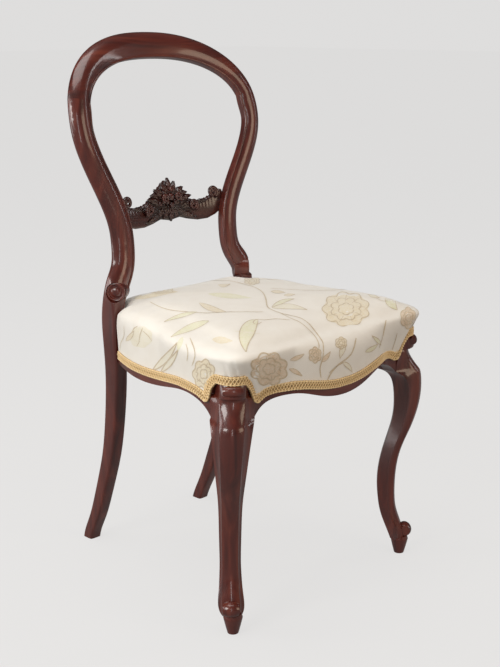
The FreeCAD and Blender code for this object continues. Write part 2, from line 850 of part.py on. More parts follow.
def padding(grow, low, inside=0.0):
    """Domed solid of the seat: its sides follow the frame, its top edge is rounded.

    grow widens it beyond the frame, inside is its depth below the outer face of the cover.
    """
    body = Part.Face(seat_outline(grow, low)).extrude(Vector(0, 0, seat_crown_height + 20 - low))
    radius = seat_dome_radius - inside
    dome = Part.makeSphere(radius)
    top = Vector(0, seat_middle_y, seat_crown_height - seat_dome_radius)
    dome.Placement = FreeCAD.Placement(top, FreeCAD.Rotation(Vector(1, 0, 0), 90))
    body = body.common(dome)
    rim = [e for e in body.Edges if e.BoundBox.ZMin > rail_top + 20 and e.BoundBox.ZMax < seat_crown_height]
    body = body.makeFillet(seat_edge_radius - inside, rim)
    return body.cut(stile_notch())


def stile_notch():
    """Room for the two rear legs and stile feet at the back corners."""
    left = leg_inner_x - 5.5 - stile_clearance
    front = leg_front_y - 4.5 - stile_clearance
    box = Part.makeBox(80, 90, 220, Vector(left, front, rail_top + 3.5))
    low = Part.makeBox(80, 90, 120, Vector(leg_inner_x, leg_front_y, rail_top - 110))
    box = box.fuse(low)
    return box.fuse(mirrored(box))


def leg_window(points):
    """Prism along each front leg's diagonal from points (across, height)."""
    wire = wire_of([diagonal(-45, across, z) for across, z in points])
    outward = diagonal(1, 0, 0) - diagonal(0, 0, 0)
    prism = Part.Face(wire).extrude(outward * 90)
    return prism.fuse(mirrored(prism))


def around_leg(extra, bottom):
    """Outline (across, height) of the bare top of a front leg, widened by extra."""
    top = rail_top - 4.0 + extra
    half = [
        (leg_window_half + 8.0 + extra, bottom),
        (leg_window_half + 8.0 + extra, rail_top - rail_end_height + 12),
        (leg_window_half + extra, rail_top - 14.0 + extra * 0.35),
        (leg_window_half - 7.0 + extra * 0.6, top),
    ]
    return half + [(-across, z) for across, z in reversed(half)]


front_gimp = raised(front_lower, gimp_rise_middle, gimp_rise_arch)
side_gimp = raised(side_lower, gimp_rise_middle, gimp_rise_arch)
rear_low = rail_top - back_rail_height + 6.0


def lifted(points, rise):
    return [(distance, z + rise) for distance, z in points]


def seat_cover():
    """Cover drawn over the padding and down the faces of the rails to the braid."""
    low = rail_top - 110
    outer = padding(cover_thickness, low)
    inner = padding(0.0, low - 5, cover_thickness)
    shell = outer.cut(inner)
    half = gimp_width / 2
    middle = lifted(front_gimp, half)
    shell = shell.cut(front_region(below_edge(middle), middle))
    middle = lifted(side_gimp, half)
    under = side_region(below_edge(middle), middle)
    shell = shell.cut(under.fuse(mirrored(under)))
    shell = shell.cut(leg_window(around_leg(half, low)))
    rear = Part.makeBox(2 * front_corner_x, 80, rear_low + half - low + 30,
                        Vector(-front_corner_x, leg_front_y - 1.0, low - 30))
    shell = shell.cut(rear)
    return sorted(shell.Solids, key=lambda solid: solid.Volume)[-1]


def gimp_shell():
    low = rail_top - 90
    high = Vector(0, 0, 110)
    outer = Part.Face(seat_outline(cover_thickness + gimp_thickness, low)).extrude(high)
    inner = Part.Face(seat_outline(cover_thickness, low - 5)).extrude(high + Vector(0, 0, 10))
    return outer.cut(inner)


def gimp_braid():
    """Braid along the front and both sides and over the tops of the front legs."""
    shell = gimp_shell().cut(Part.makeBox(600, 200, 300, Vector(-300, leg_front_y - 0.3, 250)))
    front = shell.common(front_region(front_gimp, lifted(front_gimp, gimp_width)))
    side = side_region(side_gimp, lifted(side_gimp, gimp_width))
    sides = shell.common(side.fuse(mirrored(side)))
    bottom = rail_top - rail_end_height + 14.0
    tops = shell.common(leg_window(around_leg(gimp_width, bottom)))
    braid = front.fuse([sides, tops]).cut(leg_window(around_leg(0, bottom - 60)))
    return braid.removeSplitter()


def gimp_braid_back():
    y = back_rail_y + back_rail_thickness + cover_thickness
    return Part.makeBox(2 * leg_inner_x, gimp_thickness, gimp_width, Vector(-leg_inner_x, y, rear_low))


pieces = {}


def frame_pieces():
    right_stile = rear_leg_stile()
    stiles = [right_stile, mirrored(right_stile)]
    right_leg = front_leg()
    legs = [right_leg, mirrored(right_leg)]
    crest = crest_rail()
    splat = carved_splat(stiles)
    front = front_seat_rail()
    side = side_seat_rail()
    sides = [side, mirrored(side)]
    back = back_seat_rail()

    inner_x = front_corner_x - rail_thickness
    inner_y = corner_y + rail_thickness
    around = [front, back] + sides + legs + stiles
    block_front = corner_block(Vector(inner_x, inner_y, 0), -1, 1, around)
    block_rear = corner_block(Vector(side_end_x - rail_thickness, back_rail_y, 0), -1, -1, around)
    screws = []
    z = rail_top - 6.0 - corner_block_height / 2
    far = corner_block_leg * 0.86
    near = corner_block_leg * 0.14
    for corner, ty in ((Vector(inner_x, inner_y, z), 1),
                       (Vector(side_end_x - rail_thickness, back_rail_y, z), -1)):
        screws.append(wood_screw(corner + Vector(-far, ty * near, 0), Vector(0, -ty, 0)))
        screws.append(wood_screw(corner + Vector(-near, ty * far, 0), Vector(1, 0, 0)))
    screws = screws + [mirrored(screw) for screw in screws]
    screw_holes = Part.makeCompound(screws)

    rail_pins = rail_dowels()
    crest_pins = crest_dowels()
    splat_pins = splat_dowels()

    def with_rail_holes(shape):
        return bored(shape, rail_pins, rail_dowel_diameter, rail_dowel_length)

    for name, shape in (("right", stiles[0]), ("left", stiles[1])):
        shape = with_rail_holes(shape)
        shape = bored(shape, crest_pins, crest_dowel_diameter, crest_dowel_length)
        shape = bored(shape, splat_pins, splat_dowel_diameter, splat_dowel_length)
        pieces["rear_leg_stile_" + name] = shape
    pieces["crest_rail"] = bored(crest, crest_pins, crest_dowel_diameter, crest_dowel_length)
    pieces["carved_splat"] = bored(splat, splat_pins, splat_dowel_diameter, splat_dowel_length)
    for name, shape in (("right", legs[0]), ("left", legs[1])):
        pieces["front_leg_" + name] = with_rail_holes(shape)
    pieces["front_seat_rail"] = with_rail_holes(front).cut(screw_holes)
    for name, shape in (("right", sides[0]), ("left", sides[1])):
        pieces["side_seat_rail_" + name] = with_rail_holes(shape).cut(screw_holes)
    pieces["back_seat_rail"] = with_rail_holes(back).cut(screw_holes)
    for name, block in (("front", block_front), ("rear", block_rear)):
        block = block.cut(screw_holes)
        pieces["corner_block_" + name + "_right"] = block
        pieces["corner_block_" + name + "_left"] = mirrored(block)
    pieces["rail_dowels"] = Part.makeCompound(rail_pins)
    pieces["crest_dowels"] = Part.makeCompound(crest_pins)
    pieces["splat_dowels"] = Part.makeCompound(splat_pins)
    pieces["corner_block_screws"] = Part.makeCompound(screws)
    pieces["patera_right"] = patera()
    pieces["patera_left"] = mirrored(pieces["patera_right"])


def seat_pieces():
    for i, strip in enumerate(webbing_front_to_back()):
        pieces["webbing_front_to_back_" + str(i + 1)] = strip
    for i, strip in enumerate(webbing_side_to_side()):
        pieces["webbing_side_to_side_" + str(i + 1)] = strip
    low = rail_top + 2 * webbing_thickness
    base = Part.Face(seat_outline(-hessian_inset, low)).extrude(Vector(0, 0, hessian_thickness))
    pieces["hessian_base"] = base.cut(stile_notch())
    calico_inside = cover_thickness + wadding_thickness
    hair_inside = calico_inside + calico_thickness
    wadding = padding(0.0, hessian_top, cover_thickness)
    calico = padding(-wadding_thickness, hessian_top, calico_inside)
    hair = padding(-wadding_thickness - calico_thickness, hessian_top, hair_inside)
    pieces["hair_stuffing"] = hair
    pieces["calico_undercover"] = calico.cut(hair)
    pieces["wadding_layer"] = wadding.cut(calico)
    pieces["seat_cover"] = seat_cover()
    pieces["gimp_braid"] = gimp_braid()
    pieces["gimp_braid_back"] = gimp_braid_back()


def main():
    os.makedirs("parts", exist_ok=True)
    frame_pieces()
    seat_pieces()
    for name, shape in pieces.items():
        shape.exportStep("parts/" + name + ".step")


main()
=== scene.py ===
import bpy
import math
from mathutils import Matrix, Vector
from mathutils.bvhtree import BVHTree


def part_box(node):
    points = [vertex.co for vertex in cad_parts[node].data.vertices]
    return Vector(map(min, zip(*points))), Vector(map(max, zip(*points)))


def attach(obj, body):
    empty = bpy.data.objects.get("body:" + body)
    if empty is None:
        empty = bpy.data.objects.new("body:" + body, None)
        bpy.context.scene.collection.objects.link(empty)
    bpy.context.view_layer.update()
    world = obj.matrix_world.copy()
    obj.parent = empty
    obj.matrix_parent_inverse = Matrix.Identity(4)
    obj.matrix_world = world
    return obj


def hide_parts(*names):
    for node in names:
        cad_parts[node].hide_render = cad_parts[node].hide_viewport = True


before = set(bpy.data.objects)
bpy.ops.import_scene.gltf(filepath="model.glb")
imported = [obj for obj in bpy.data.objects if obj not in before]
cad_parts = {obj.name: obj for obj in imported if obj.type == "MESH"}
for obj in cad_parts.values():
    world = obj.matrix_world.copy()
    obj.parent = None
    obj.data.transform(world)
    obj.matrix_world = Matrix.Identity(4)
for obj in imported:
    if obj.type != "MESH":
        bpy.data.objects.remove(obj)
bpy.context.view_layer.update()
print("frame loaded")

# Camera at the photograph's viewing angle; photo is the picture's size in pixels
cameraView = {
    "place": (-1.3723, -1.3943, 0.9006),
    "aim": (0.026, -0.0105, 0.3918),
    "lens": 65.4,
    "sensor": 36,
    "photo": (500, 667),
}


def facing(place, aim):
    return (Vector(aim) - Vector(place)).to_track_quat("-Z", "Y")


def makeCamera(v):
    data = bpy.data.cameras.new("camera")
    camera = bpy.data.objects.new("camera", data)
    bpy.context.scene.collection.objects.link(camera)
    data.sensor_width = v["sensor"]
    data.lens = v["lens"]
    camera.location = v["place"]
    camera.rotation_mode = "QUATERNION"
    camera.rotation_quaternion = facing(v["place"], v["aim"])
    bpy.context.scene.camera = camera


makeCamera(cameraView)
bpy.context.scene.view_settings.view_transform = "Standard"


# Helpers for node materials
def newMaterial(name):
    material = bpy.data.materials.new(name)
    material.use_nodes = True
    tree = material.node_tree
    return material, tree, tree.nodes["Principled BSDF"]


def addNode(tree, kind, **values):
    node = tree.nodes.new(kind)
    for key, value in values.items():
        setattr(node, key, value)
    return node


def mapped(tree, scale, turn=(0, 0, 0)):
    place = addNode(tree, "ShaderNodeTexCoord")
    mapping = addNode(tree, "ShaderNodeMapping")
    mapping.inputs["Scale"].default_value = scale
    mapping.inputs["Rotation"].default_value = turn
    tree.links.new(place.outputs["Object"], mapping.inputs["Vector"])
    return mapping.outputs["Vector"]


def noiseOn(tree, vector, scale, detail=4.0, distortion=0.0):
    node = addNode(tree, "ShaderNodeTexNoise")
    node.inputs["Scale"].default_value = scale
    node.inputs["Detail"].default_value = detail
    node.inputs["Distortion"].default_value = distortion
    tree.links.new(vector, node.inputs["Vector"])
    return node.outputs["Fac"]


def rampOf(tree, fac, stops):
    node = addNode(tree, "ShaderNodeValToRGB")
    ramp = node.color_ramp
    while len(ramp.elements) < len(stops):
        ramp.elements.new(0.5)
    for element, (place, colour) in zip(ramp.elements, stops):
        element.position = place
        element.color = (*colour, 1)
    tree.links.new(fac, node.inputs["Fac"])
    return node.outputs["Color"]


def mixed(tree, fac, a, b, how="MIX"):
    node = addNode(tree, "ShaderNodeMix", data_type="RGBA", blend_type=how)
    for socket, value in ((node.inputs[0], fac), (node.inputs[6], a), (node.inputs[7], b)):
        if isinstance(value, (float, int)):
            socket.default_value = value
        elif isinstance(value, tuple):
            socket.default_value = (*value, 1)
        else:
            tree.links.new(value, socket)
    return node.outputs[2]


def bumpOf(tree, shader, height, strength, distance):
    node = addNode(tree, "ShaderNodeBump")
    node.inputs["Strength"].default_value = strength
    node.inputs["Distance"].default_value = distance
    tree.links.new(height, node.inputs["Height"])
    tree.links.new(node.outputs["Normal"], shader.inputs["Normal"])


def rangeOf(tree, fac, low, high):
    node = addNode(tree, "ShaderNodeMapRange")
    node.inputs["To Min"].default_value = low
    node.inputs["To Max"].default_value = high
    tree.links.new(fac, node.inputs["Value"])
    return node.outputs["Result"]


# Polished mahogany, its grain running along one axis
mahogany = {
    "dark": (0.030, 0.0052, 0.0036),
    "middle": (0.112, 0.0180, 0.0105),
    "light": (0.220, 0.046, 0.024),
    # Painted shade: a near-black colour for the low places of the carving, where shade falls
    "paintedRecessShade": (0.012, 0.0045, 0.0038),
    "coat": 0.8,
    "coatRoughness": 0.10,
    "alongScale": 5.0,
    "acrossScale": 46.0,
    "poreDepth": 0.00012,
}


def mahoganyMaterial(name, axis, v, carved=False):
    material, tree, shader = newMaterial(name)
    stretch = [v["acrossScale"]] * 3
    stretch[axis] = v["alongScale"]
    vector = mapped(tree, stretch)
    figure = noiseOn(tree, vector, 1.0, 6.0, 1.2)
    streak = noiseOn(tree, vector, 5.5, 3.0, 0.4)
    cloud = noiseOn(tree, mapped(tree, (9, 9, 9)), 1.0, 2.0)
    wood = rampOf(tree, figure, [(0.30, v["dark"]), (0.50, v["middle"]), (0.72, v["light"])])
    wood = mixed(tree, rangeOf(tree, streak, 0.0, 0.5), wood, v["dark"])
    wood = mixed(tree, rangeOf(tree, cloud, 0.0, 0.55), wood, v["middle"])
    if carved:
        # Painted shade: the lower a point of the carving lies, the closer its colour comes to the near-black
        # recess shade
        rise = addNode(tree, "ShaderNodeAttribute", attribute_name="rise")
        wood = mixed(tree, rangeOf(tree, rise.outputs["Fac"], 0.92, 0.35), wood, v["paintedRecessShade"])
    tree.links.new(wood, shader.inputs["Base Color"])
    tree.links.new(rangeOf(tree, streak, 0.26, 0.42), shader.inputs["Roughness"])
    shader.inputs["Coat Weight"].default_value = v["coat"]
    shader.inputs["Coat Roughness"].default_value = v["coatRoughness"]
    bumpOf(tree, shader, streak, 0.35, v["poreDepth"])
    return material


# Plain beech of the hidden frame pieces and dowels
beech = {"light": (0.52, 0.36, 0.22), "dark": (0.33, 0.20, 0.11)}


def beechMaterial(name, v):
    material, tree, shader = newMaterial(name)
    vector = mapped(tree, (9, 110, 110))
    grain = noiseOn(tree, vector, 1.0, 5.0, 0.6)
    tree.links.new(rampOf(tree, grain, [(0.3, v["dark"]), (0.65, v["light"])]), shader.inputs["Base Color"])
    shader.inputs["Roughness"].default_value = 0.62
    bumpOf(tree, shader, grain, 0.3, 0.0003)
    return material


# Plain cloths: threads over and under each other. A wave texture at scale 1 has 3.18 bands per metre
wavesPerMetre = 3.18


def clothMaterial(name, warp, weft, threadsPerMetre, roughness):
    material, tree, shader = newMaterial(name)
    vector = mapped(tree, (1, 1, 1))
    waves = []
    for direction in ("X", "Y"):
        wave = addNode(tree, "ShaderNodeTexWave", bands_direction=direction)
        wave.inputs["Scale"].default_value = threadsPerMetre / wavesPerMetre
        wave.inputs["Distortion"].default_value = 1.4
        wave.inputs["Detail Scale"].default_value = 0.6
        tree.links.new(vector, wave.inputs["Vector"])
        waves.append(wave.outputs["Fac"])
    weave = addNode(tree, "ShaderNodeMath", operation="MULTIPLY")
    tree.links.new(waves[0], weave.inputs[0])
    tree.links.new(waves[1], weave.inputs[1])
    tree.links.new(rampOf(tree, weave.outputs[0], [(0.0, weft), (0.6, warp)]), shader.inputs["Base Color"])
    shader.inputs["Roughness"].default_value = roughness
    shader.inputs["Sheen Weight"].default_value = 0.25
    bumpOf(tree, shader, weave.outputs[0], 0.6, 0.0006)
    return material


def steelMaterial(name):
    material, tree, shader = newMaterial(name)
    brush = noiseOn(tree, mapped(tree, (300, 300, 900)), 1.0, 3.0)
    tree.links.new(rampOf(tree, brush, [(0.2, (0.30, 0.29, 0.28)), (0.8, (0.52, 0.51, 0.50))]),
                   shader.inputs["Base Color"])
    tree.links.new(rangeOf(tree, brush, 0.28, 0.48), shader.inputs["Roughness"])
    shader.inputs["Metallic"].default_value = 1.0
    return material


# Figured silk: ivory ground and woven figure
silk = {
    "ground": (0.85, 0.80, 0.72),
    "groundShade": (0.83, 0.775, 0.69),
    "ribs": 1500.0,
    "ribDepth": 0.00012,
    "roughness": 0.48,
    "sheen": 0.35,
}


def silkMaterial(name, base, shade, v, worked=0.0):
    material, tree, shader = newMaterial(name)
    cloud = noiseOn(tree, mapped(tree, (40, 40, 40)), 1.0, 3.0)
    colour = rampOf(tree, cloud, [(0.35, shade), (0.6, base)])
    if worked:
        stitch = noiseOn(tree, mapped(tree, (150, 420, 420)), 1.0, 3.0, 1.5)
        shown = rampOf(tree, stitch, [(0.42, (0, 0, 0)), (0.60, (worked,) * 3)])
        colour = mixed(tree, shown, colour, v["ground"])
    tree.links.new(colour, shader.inputs["Base Color"])
    shader.inputs["Roughness"].default_value = v["roughness"]
    shader.inputs["Sheen Weight"].default_value = v["sheen"]
    shader.inputs["Sheen Roughness"].default_value = 0.4
    wave = addNode(tree, "ShaderNodeTexWave", bands_direction="DIAGONAL")
    wave.inputs["Scale"].default_value = v["ribs"] / (2 * wavesPerMetre)
    wave.inputs["Distortion"].default_value = 1.0
    tree.links.new(mapped(tree, (1, 1, 1)), wave.inputs["Vector"])
    bumpOf(tree, shader, wave.outputs["Fac"], 0.4, v["ribDepth"])
    return material


# Braid: tan silk cords with dark shadows between them
gimp = {"low": (0.15, 0.072, 0.022), "middle": (0.70, 0.46, 0.19), "high": (0.94, 0.73, 0.42)}


def gimpMaterial(name, v):
    material, tree, shader = newMaterial(name)
    rise = addNode(tree, "ShaderNodeAttribute", attribute_name="rise")
    strand = noiseOn(tree, mapped(tree, (1, 1, 1)), 700.0, 3.0)
    colour = rampOf(tree, rise.outputs["Fac"], [(0.05, v["low"]), (0.35, v["middle"]), (0.85, v["high"])])
    colour = mixed(tree, rangeOf(tree, strand, 0.0, 0.7), colour, v["middle"])
    tree.links.new(colour, shader.inputs["Base Color"])
    shader.inputs["Roughness"].default_value = 0.6
    shader.inputs["Sheen Weight"].default_value = 0.3
    bumpOf(tree, shader, strand, 0.5, 0.0003)
    return material


materials = {
    "mahoganyUp": mahoganyMaterial("mahoganyUp", 2, mahogany),
    "mahoganyAcross": mahoganyMaterial("mahoganyAcross", 0, mahogany),
    "mahoganyDeep": mahoganyMaterial("mahoganyDeep", 1, mahogany),
    "mahoganyCarved": mahoganyMaterial("mahoganyCarved", 0, mahogany, True),
    "beech": beechMaterial("beech", beech),
    "webbing": clothMaterial("webbing", (0.50, 0.36, 0.20), (0.30, 0.20, 0.10), 420, 0.9),
    "hessian": clothMaterial("hessian", (0.52, 0.38, 0.22), (0.26, 0.17, 0.09), 520, 0.95),
    "calico": clothMaterial("calico", (0.78, 0.73, 0.62), (0.62, 0.56, 0.44), 1400, 0.9),
    "wadding": clothMaterial("wadding", (0.86, 0.85, 0.80), (0.76, 0.75, 0.70), 260, 1.0),
    "hair": clothMaterial("hair", (0.06, 0.045, 0.035), (0.02, 0.015, 0.012), 700, 0.7),
    "steel": steelMaterial("steel"),
    "figuredSilk": silkMaterial("figuredSilk", silk["ground"], silk["groundShade"], silk),
    "figureLine": silkMaterial("figureLine", (0.62, 0.50, 0.33), (0.54, 0.41, 0.25), silk, 0.3),
    "figureGreen": silkMaterial("figureGreen", (0.78, 0.75, 0.53), (0.74, 0.70, 0.47), silk, 0.5),
    "figureSand": silkMaterial("figureSand", (0.80, 0.70, 0.51), (0.76, 0.65, 0.45), silk, 0.5),
    "figurePale": silkMaterial("figurePale", (0.82, 0.76, 0.60), (0.78, 0.71, 0.54), silk, 0.5),
    "figureRose": silkMaterial("figureRose", (0.76, 0.60, 0.43), (0.71, 0.54, 0.37), silk, 0.45),
    "gimp": gimpMaterial("gimp", gimp),
}
print("materials made")

# Which finish each node of the frame carries
nodeFinish = {
    "crest_rail": "mahoganyAcross",
    "carved_splat": "mahoganyAcross",
    "front_seat_rail": "mahoganyAcross",
    "side_seat_rail": "mahoganyDeep",
    "rear_leg_stile": "mahoganyUp",
    "front_leg": "mahoganyUp",
    "patera": "mahoganyUp",
    "back_seat_rail": "beech",
    "corner_block_screws": "steel",
    "corner_block": "beech",
    "rail_dowels": "beech",
    "crest_dowels": "beech",
    "splat_dowels": "beech",
    "webbing": "webbing",
    "hessian_base": "hessian",
    "hair_stuffing": "hair",
    "calico_undercover": "calico",
    "wadding_layer": "wadding",
    "seat_cover": "calico",
    "gimp_braid": "calico",
}


# Vertices closer than this in metres are merged, and edges sharper than this in degrees stay sharp
weldDistance = 0.00001
creaseAngle = 33


def dressNode(node, finish):
    node.data.materials.clear()
    node.data.materials.append(materials[finish])
    weld = node.modifiers.new("weld", "WELD")
    weld.merge_threshold = weldDistance
    for polygon in node.data.polygons:
        polygon.use_smooth = True
    split = node.modifiers.new("creases", "EDGE_SPLIT")
    split.split_angle = math.radians(creaseAngle)


for nodeName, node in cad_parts.items():
    dressNode(node, next(f for start, f in nodeFinish.items() if nodeName.startswith(start)))
print("frame nodes dressed")


# Helpers for meshes
def treeOf(vertices, faces):
    return BVHTree.FromPolygons(vertices, faces)


def nodeTree(nodeName):
    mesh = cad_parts[nodeName].data
    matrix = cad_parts[nodeName].matrix_world
    return treeOf([matrix @ p.co for p in mesh.vertices], [list(f.vertices) for f in mesh.polygons])


# rises is kept with the vertices for the materials that paint shade where the surface lies low
def makeMesh(name, vertices, faces, finishes, faceFinish=None, rises=None):
    mesh = bpy.data.meshes.new(name)
    mesh.from_pydata(vertices, [], faces)
    piece = bpy.data.objects.new(name, mesh)
    bpy.context.scene.collection.objects.link(piece)
    for finish in finishes:
        mesh.materials.append(materials[finish])
    if faceFinish:
        mesh.polygons.foreach_set("material_index", faceFinish)
    if rises:
        mesh.attributes.new("rise", "FLOAT", "POINT").data.foreach_set("value", rises)
    mesh.polygons.foreach_set("use_smooth", [True] * len(mesh.polygons))
    mesh.update()
    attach(piece, "root")
    return piece


def between(stops, value):
    if value <= stops[0][0]:
        return stops[0][1]
    for (a, low), (b, high) in zip(stops, stops[1:]):
        if value <= b:
            return low + (high - low) * (value - a) / (b - a)
    return stops[-1][1]


# Share of the way from start to start + span, held between 0 and 1; a negative span goes down
def climb(value, start, span):
    return max(0.0, min((value - start) / span, 1.0))


# Point of a bent line from base to tip and the line's direction there; t runs from 0 to 1
def bentLine(base, tip, bend, t):
    middle = ((base[0] + tip[0]) / 2 - (tip[1] - base[1]) * bend,
              (base[1] + tip[1]) / 2 + (tip[0] - base[0]) * bend)
    ends = list(zip(base, middle, tip))
    place = [(1 - t) ** 2 * a + 2 * t * (1 - t) * b + t * t * c for a, b, c in ends]
    way = [2 * (1 - t) * (b - a) + 2 * t * (c - b) for a, b, c in ends]
    size = math.hypot(*way) or 1
    return place[0], place[1], way[0] / size, way[1] / size


# Running average of a ring of numbers, done three times
def eased(values, width):
    count = len(values)
    for turn in range(3):
        values = [sum(values[(i + j) % count] for j in range(-width, width + 1)) / (2 * width + 1)
                  for i in range(count)]
    return values


# Seat cover: drawn over the pad, tucked under the braid. Each span is the start and length of a climb
seat = {
    "centreY": -0.045,
    "sectors": 640,
    "rings": 154,
    "crown": 0.468,
    "crownExtra": 0.0012,
    "crownPower": 2.9,
    "crownShares": (0.80, 0.62, 0.42, 0.2, 0.0),
    "shoulderShare": 0.86,
    "frontEdge": 0.4365,
    "sideEdge": 0.4405,
    "rearEdge": 0.4485,
    "sideRise": 0.0075,
    "frontSpan": (-0.45, -0.35),
    "rearSpan": (0.5, 0.3),
    "riseSpan": (-0.25, 0.6),
    "frontRoll": 0.011,
    "sideRoll": 0.030,
    # Share of the swell, stand, share of the height and least height
    "sideProfile": [(0.35, 0.001, 0.33, 0.0), (0.85, 0.003, 0.70, 0.4045)],
    # Rolls inward, rolls up and lift
    "rollProfile": [(0.30, 0.16, 0.0), (1.35, 0.34, 0.001)],
    "faceStand": 0.0004,
    "edgeStand": 0.0030,
    "cornerEase": 0.016,
    "sideBulge": 0.0045,
    "frontLine": [(0.0, -0.2240), (0.03, -0.2245), (0.05, -0.2262), (0.09, -0.2285), (0.14, -0.2300),
                  (0.19, -0.2285), (0.24, -0.2265)],
    "edgePasses": 6,
    "edgeEase": 5,
    "rearTuck": 0.001,
    "notchX": 0.1295,
    "notchY": 0.1085,
    # Where the frame's face is felt for, and how finely its lower edge is
    "faceHeight": 0.411,
    "rimHeight": 0.402,
    "lowest": 0.33,
    "edgeStep": 0.001,
    "rayStart": 0.5,
    "rayLength": 0.4,
    "sideHeight": 0.41,
    "sideRange": (-0.160, 0.10),
    "sideX": 0.2,
    "widest": 0.6,
    "far": 1.0,
    "pleats": [(0.006, 0.0052), (-0.008, 0.0066), (-0.017, 0.0034)],
    "pleatInner": -0.03,
    "pleatSide": 0.05,
    "pleatHeight": 0.036,
    "pleatFade": 0.8,
    "pleatSlant": 0.22,
    "pleatSteep": 0.0016,
    "pleatGentle": 0.0060,
    # Counted in sectors from the leg
    "cornerShift": 2.6,
    "cornerIn": (3, 4),
    "cornerOut": (38, -14),
    "cornerDrop": 0.004,
    "dropPlace": 12.5,
    "dropWidth": 3.5,
    "legX": 0.2015,
    "legY": -0.20115,
}
tiny = 1e-6


def softLeast(a, b, ease):
    share = max(0.0, ease - abs(a - b)) / ease
    return min(a, b) - share * share * ease * 0.25


# Per sector: direction, radius of the frame's face, lowest height and radius of the top edge
def coverOutline(v):
    tree = nodeTree("seat_cover")
    centre = Vector((0, v["centreY"], 0))
    rows = []

    def reach(direction, z):
        start = centre + direction * v["rayStart"] + Vector((0, 0, z))
        hit = tree.ray_cast(start, -direction, v["rayLength"])
        return None if hit[0] is None else (hit[0].xy - centre.xy).length

    def sideX(y):
        rear, front = v["sideRange"]
        start = Vector((v["rayStart"], max(rear, min(y, front)), v["sideHeight"]))
        hit = tree.ray_cast(start, Vector((-1, 0, 0)), v["rayLength"])
        return hit[0].x if hit[0] is not None else v["sideX"]

    for i in range(v["sectors"]):
        angle = 2 * math.pi * (i + 0.5) / v["sectors"]
        direction = Vector((math.cos(angle), math.sin(angle), 0))
        radius = reach(direction, v["faceHeight"]) or v["far"]
        low = v["rimHeight"]
        if radius < v["far"]:
            low = v["faceHeight"]
            while low > v["lowest"] and reach(direction, low - v["edgeStep"]) is not None:
                low -= v["edgeStep"]
            if reach(direction, low - v["edgeStep"] / 2) is not None:
                low -= v["edgeStep"] / 2
        notch = v["far"]
        if direction.y > 0:
            notch = max(v["notchX"] / max(abs(direction.x), tiny), (v["notchY"] - centre.y) / direction.y)
        if notch < radius:
            radius = notch
            low = v["rimHeight"]
        # Top edge: straighter in front than the frame, swelling at the sides
        across = radius
        for turn in range(v["edgePasses"]):
            y = centre.y + across * direction.y
            side = (sideX(y) + v["sideBulge"]) / max(abs(direction.x), tiny)
            front = v["far"]
            if direction.y < 0:
                front = (between(v["frontLine"], abs(across * direction.x)) - centre.y) / direction.y
            across = softLeast(min(side, v["widest"]), min(front, v["widest"]), v["cornerEase"])
            if direction.y > 0:
                across = min(across, radius - v["rearTuck"])
        rows.append([direction, radius, low, across])
    for row, top in zip(rows, eased([row[3] for row in rows], v["edgeEase"])):
        row[3] = top
    drawCorners(rows, v)
    return rows


# On the front side of each leg the lower edge comes closer to the leg and hangs a little lower
def drawCorners(rows, v):
    count = len(rows)
    lows = [row[2] for row in rows]
    turn = math.atan2(v["legY"] - v["centreY"], -v["legX"]) % (2 * math.pi)
    left = turn / (2 * math.pi) * count - 0.5
    middle = int(count * 0.75)
    for i in range(int(left), middle):
        distance = i - left
        share = climb(distance, *v["cornerIn"]) * climb(distance, *v["cornerOut"])
        place = i + v["cornerShift"] * share
        k = int(place)
        low = lows[k] + (lows[k + 1] - lows[k]) * (place - k)
        low -= v["cornerDrop"] * math.exp(-((distance - v["dropPlace"]) / v["dropWidth"]) ** 2)
        rows[i][2] = low
        rows[(2 * middle - 1 - i) % count][2] = low


# Point of a clamped cubic spline over control points; share runs from 0 to 1
def splinePoint(controls, share):
    padded = [controls[0]] * 2 + list(controls) + [controls[-1]] * 2
    spans = len(padded) - 3
    place = min(share * spans, spans - 1e-9)
    k = int(place)
    t = place - k
    weights = ((1 - t) ** 3 / 6, (3 * t ** 3 - 6 * t * t + 4) / 6, (-3 * t ** 3 + 3 * t * t + 3 * t + 1) / 6,
               t ** 3 / 6)
    return [sum(w * padded[k + n][axis] for n, w in enumerate(weights)) for axis in (0, 1)]


# Folds gathered over each front leg, deepest at the braid
def pleatDepth(v, x, y, z, low):
    across = ((v["legX"] - abs(x)) + (v["legY"] - y)) / math.sqrt(2)
    out = ((abs(x) - v["legX"]) - (y - v["legY"])) / math.sqrt(2)
    if out < v["pleatInner"] or abs(across) > v["pleatSide"]:
        return 0.0
    fade = max(0.0, 1 - max(0.0, z - low) / v["pleatHeight"])
    total = 0.0
    for place, depth in v["pleats"]:
        offset = across + place + (z - low) * v["pleatSlant"]
        total += depth * math.exp(-abs(offset) / (v["pleatSteep"] if offset > 0 else v["pleatGentle"]))
    return total * fade ** v["pleatFade"]


# Control points of one sector's profile, from the lower edge up the side and in to the crown
def coverProfile(v, direction, radius, low, top):
    frontShare = climb(direction.y, *v["frontSpan"])
    rearShare = climb(direction.y, *v["rearSpan"])
    edge = v["sideEdge"] + (v["frontEdge"] - v["sideEdge"]) * frontShare
    edge += v["sideRise"] * climb(direction.y, *v["riseSpan"]) * (1 - rearShare)
    edge += (v["rearEdge"] - edge) * rearShare
    roll = v["sideRoll"] + (v["frontRoll"] - v["sideRoll"]) * frontShare
    face = radius + v["faceStand"]
    swell = max(0.0, top - face)
    controls = [(face, low)]
    for share, stand, up, least in v["sideProfile"]:
        controls.append((face + swell * share + stand, max(low + (edge - low) * up, least)))
    controls.append((max(top, top * 0.6 + face * 0.4) + v["edgeStand"], edge - roll * 0.25))
    for inward, up, lift in v["rollProfile"]:
        controls.append((top - roll * inward, edge + roll * up + lift))
    start, shoulder = controls[-1]
    for k, share in enumerate(v["crownShares"]):
        reach = top * share
        if k == 0:
            reach = reach * (start / top) / v["shoulderShare"]
        rise = (v["crown"] + v["crownExtra"] - shoulder) * (1 - share ** v["crownPower"])
        controls.append((reach, shoulder + rise))
    return controls


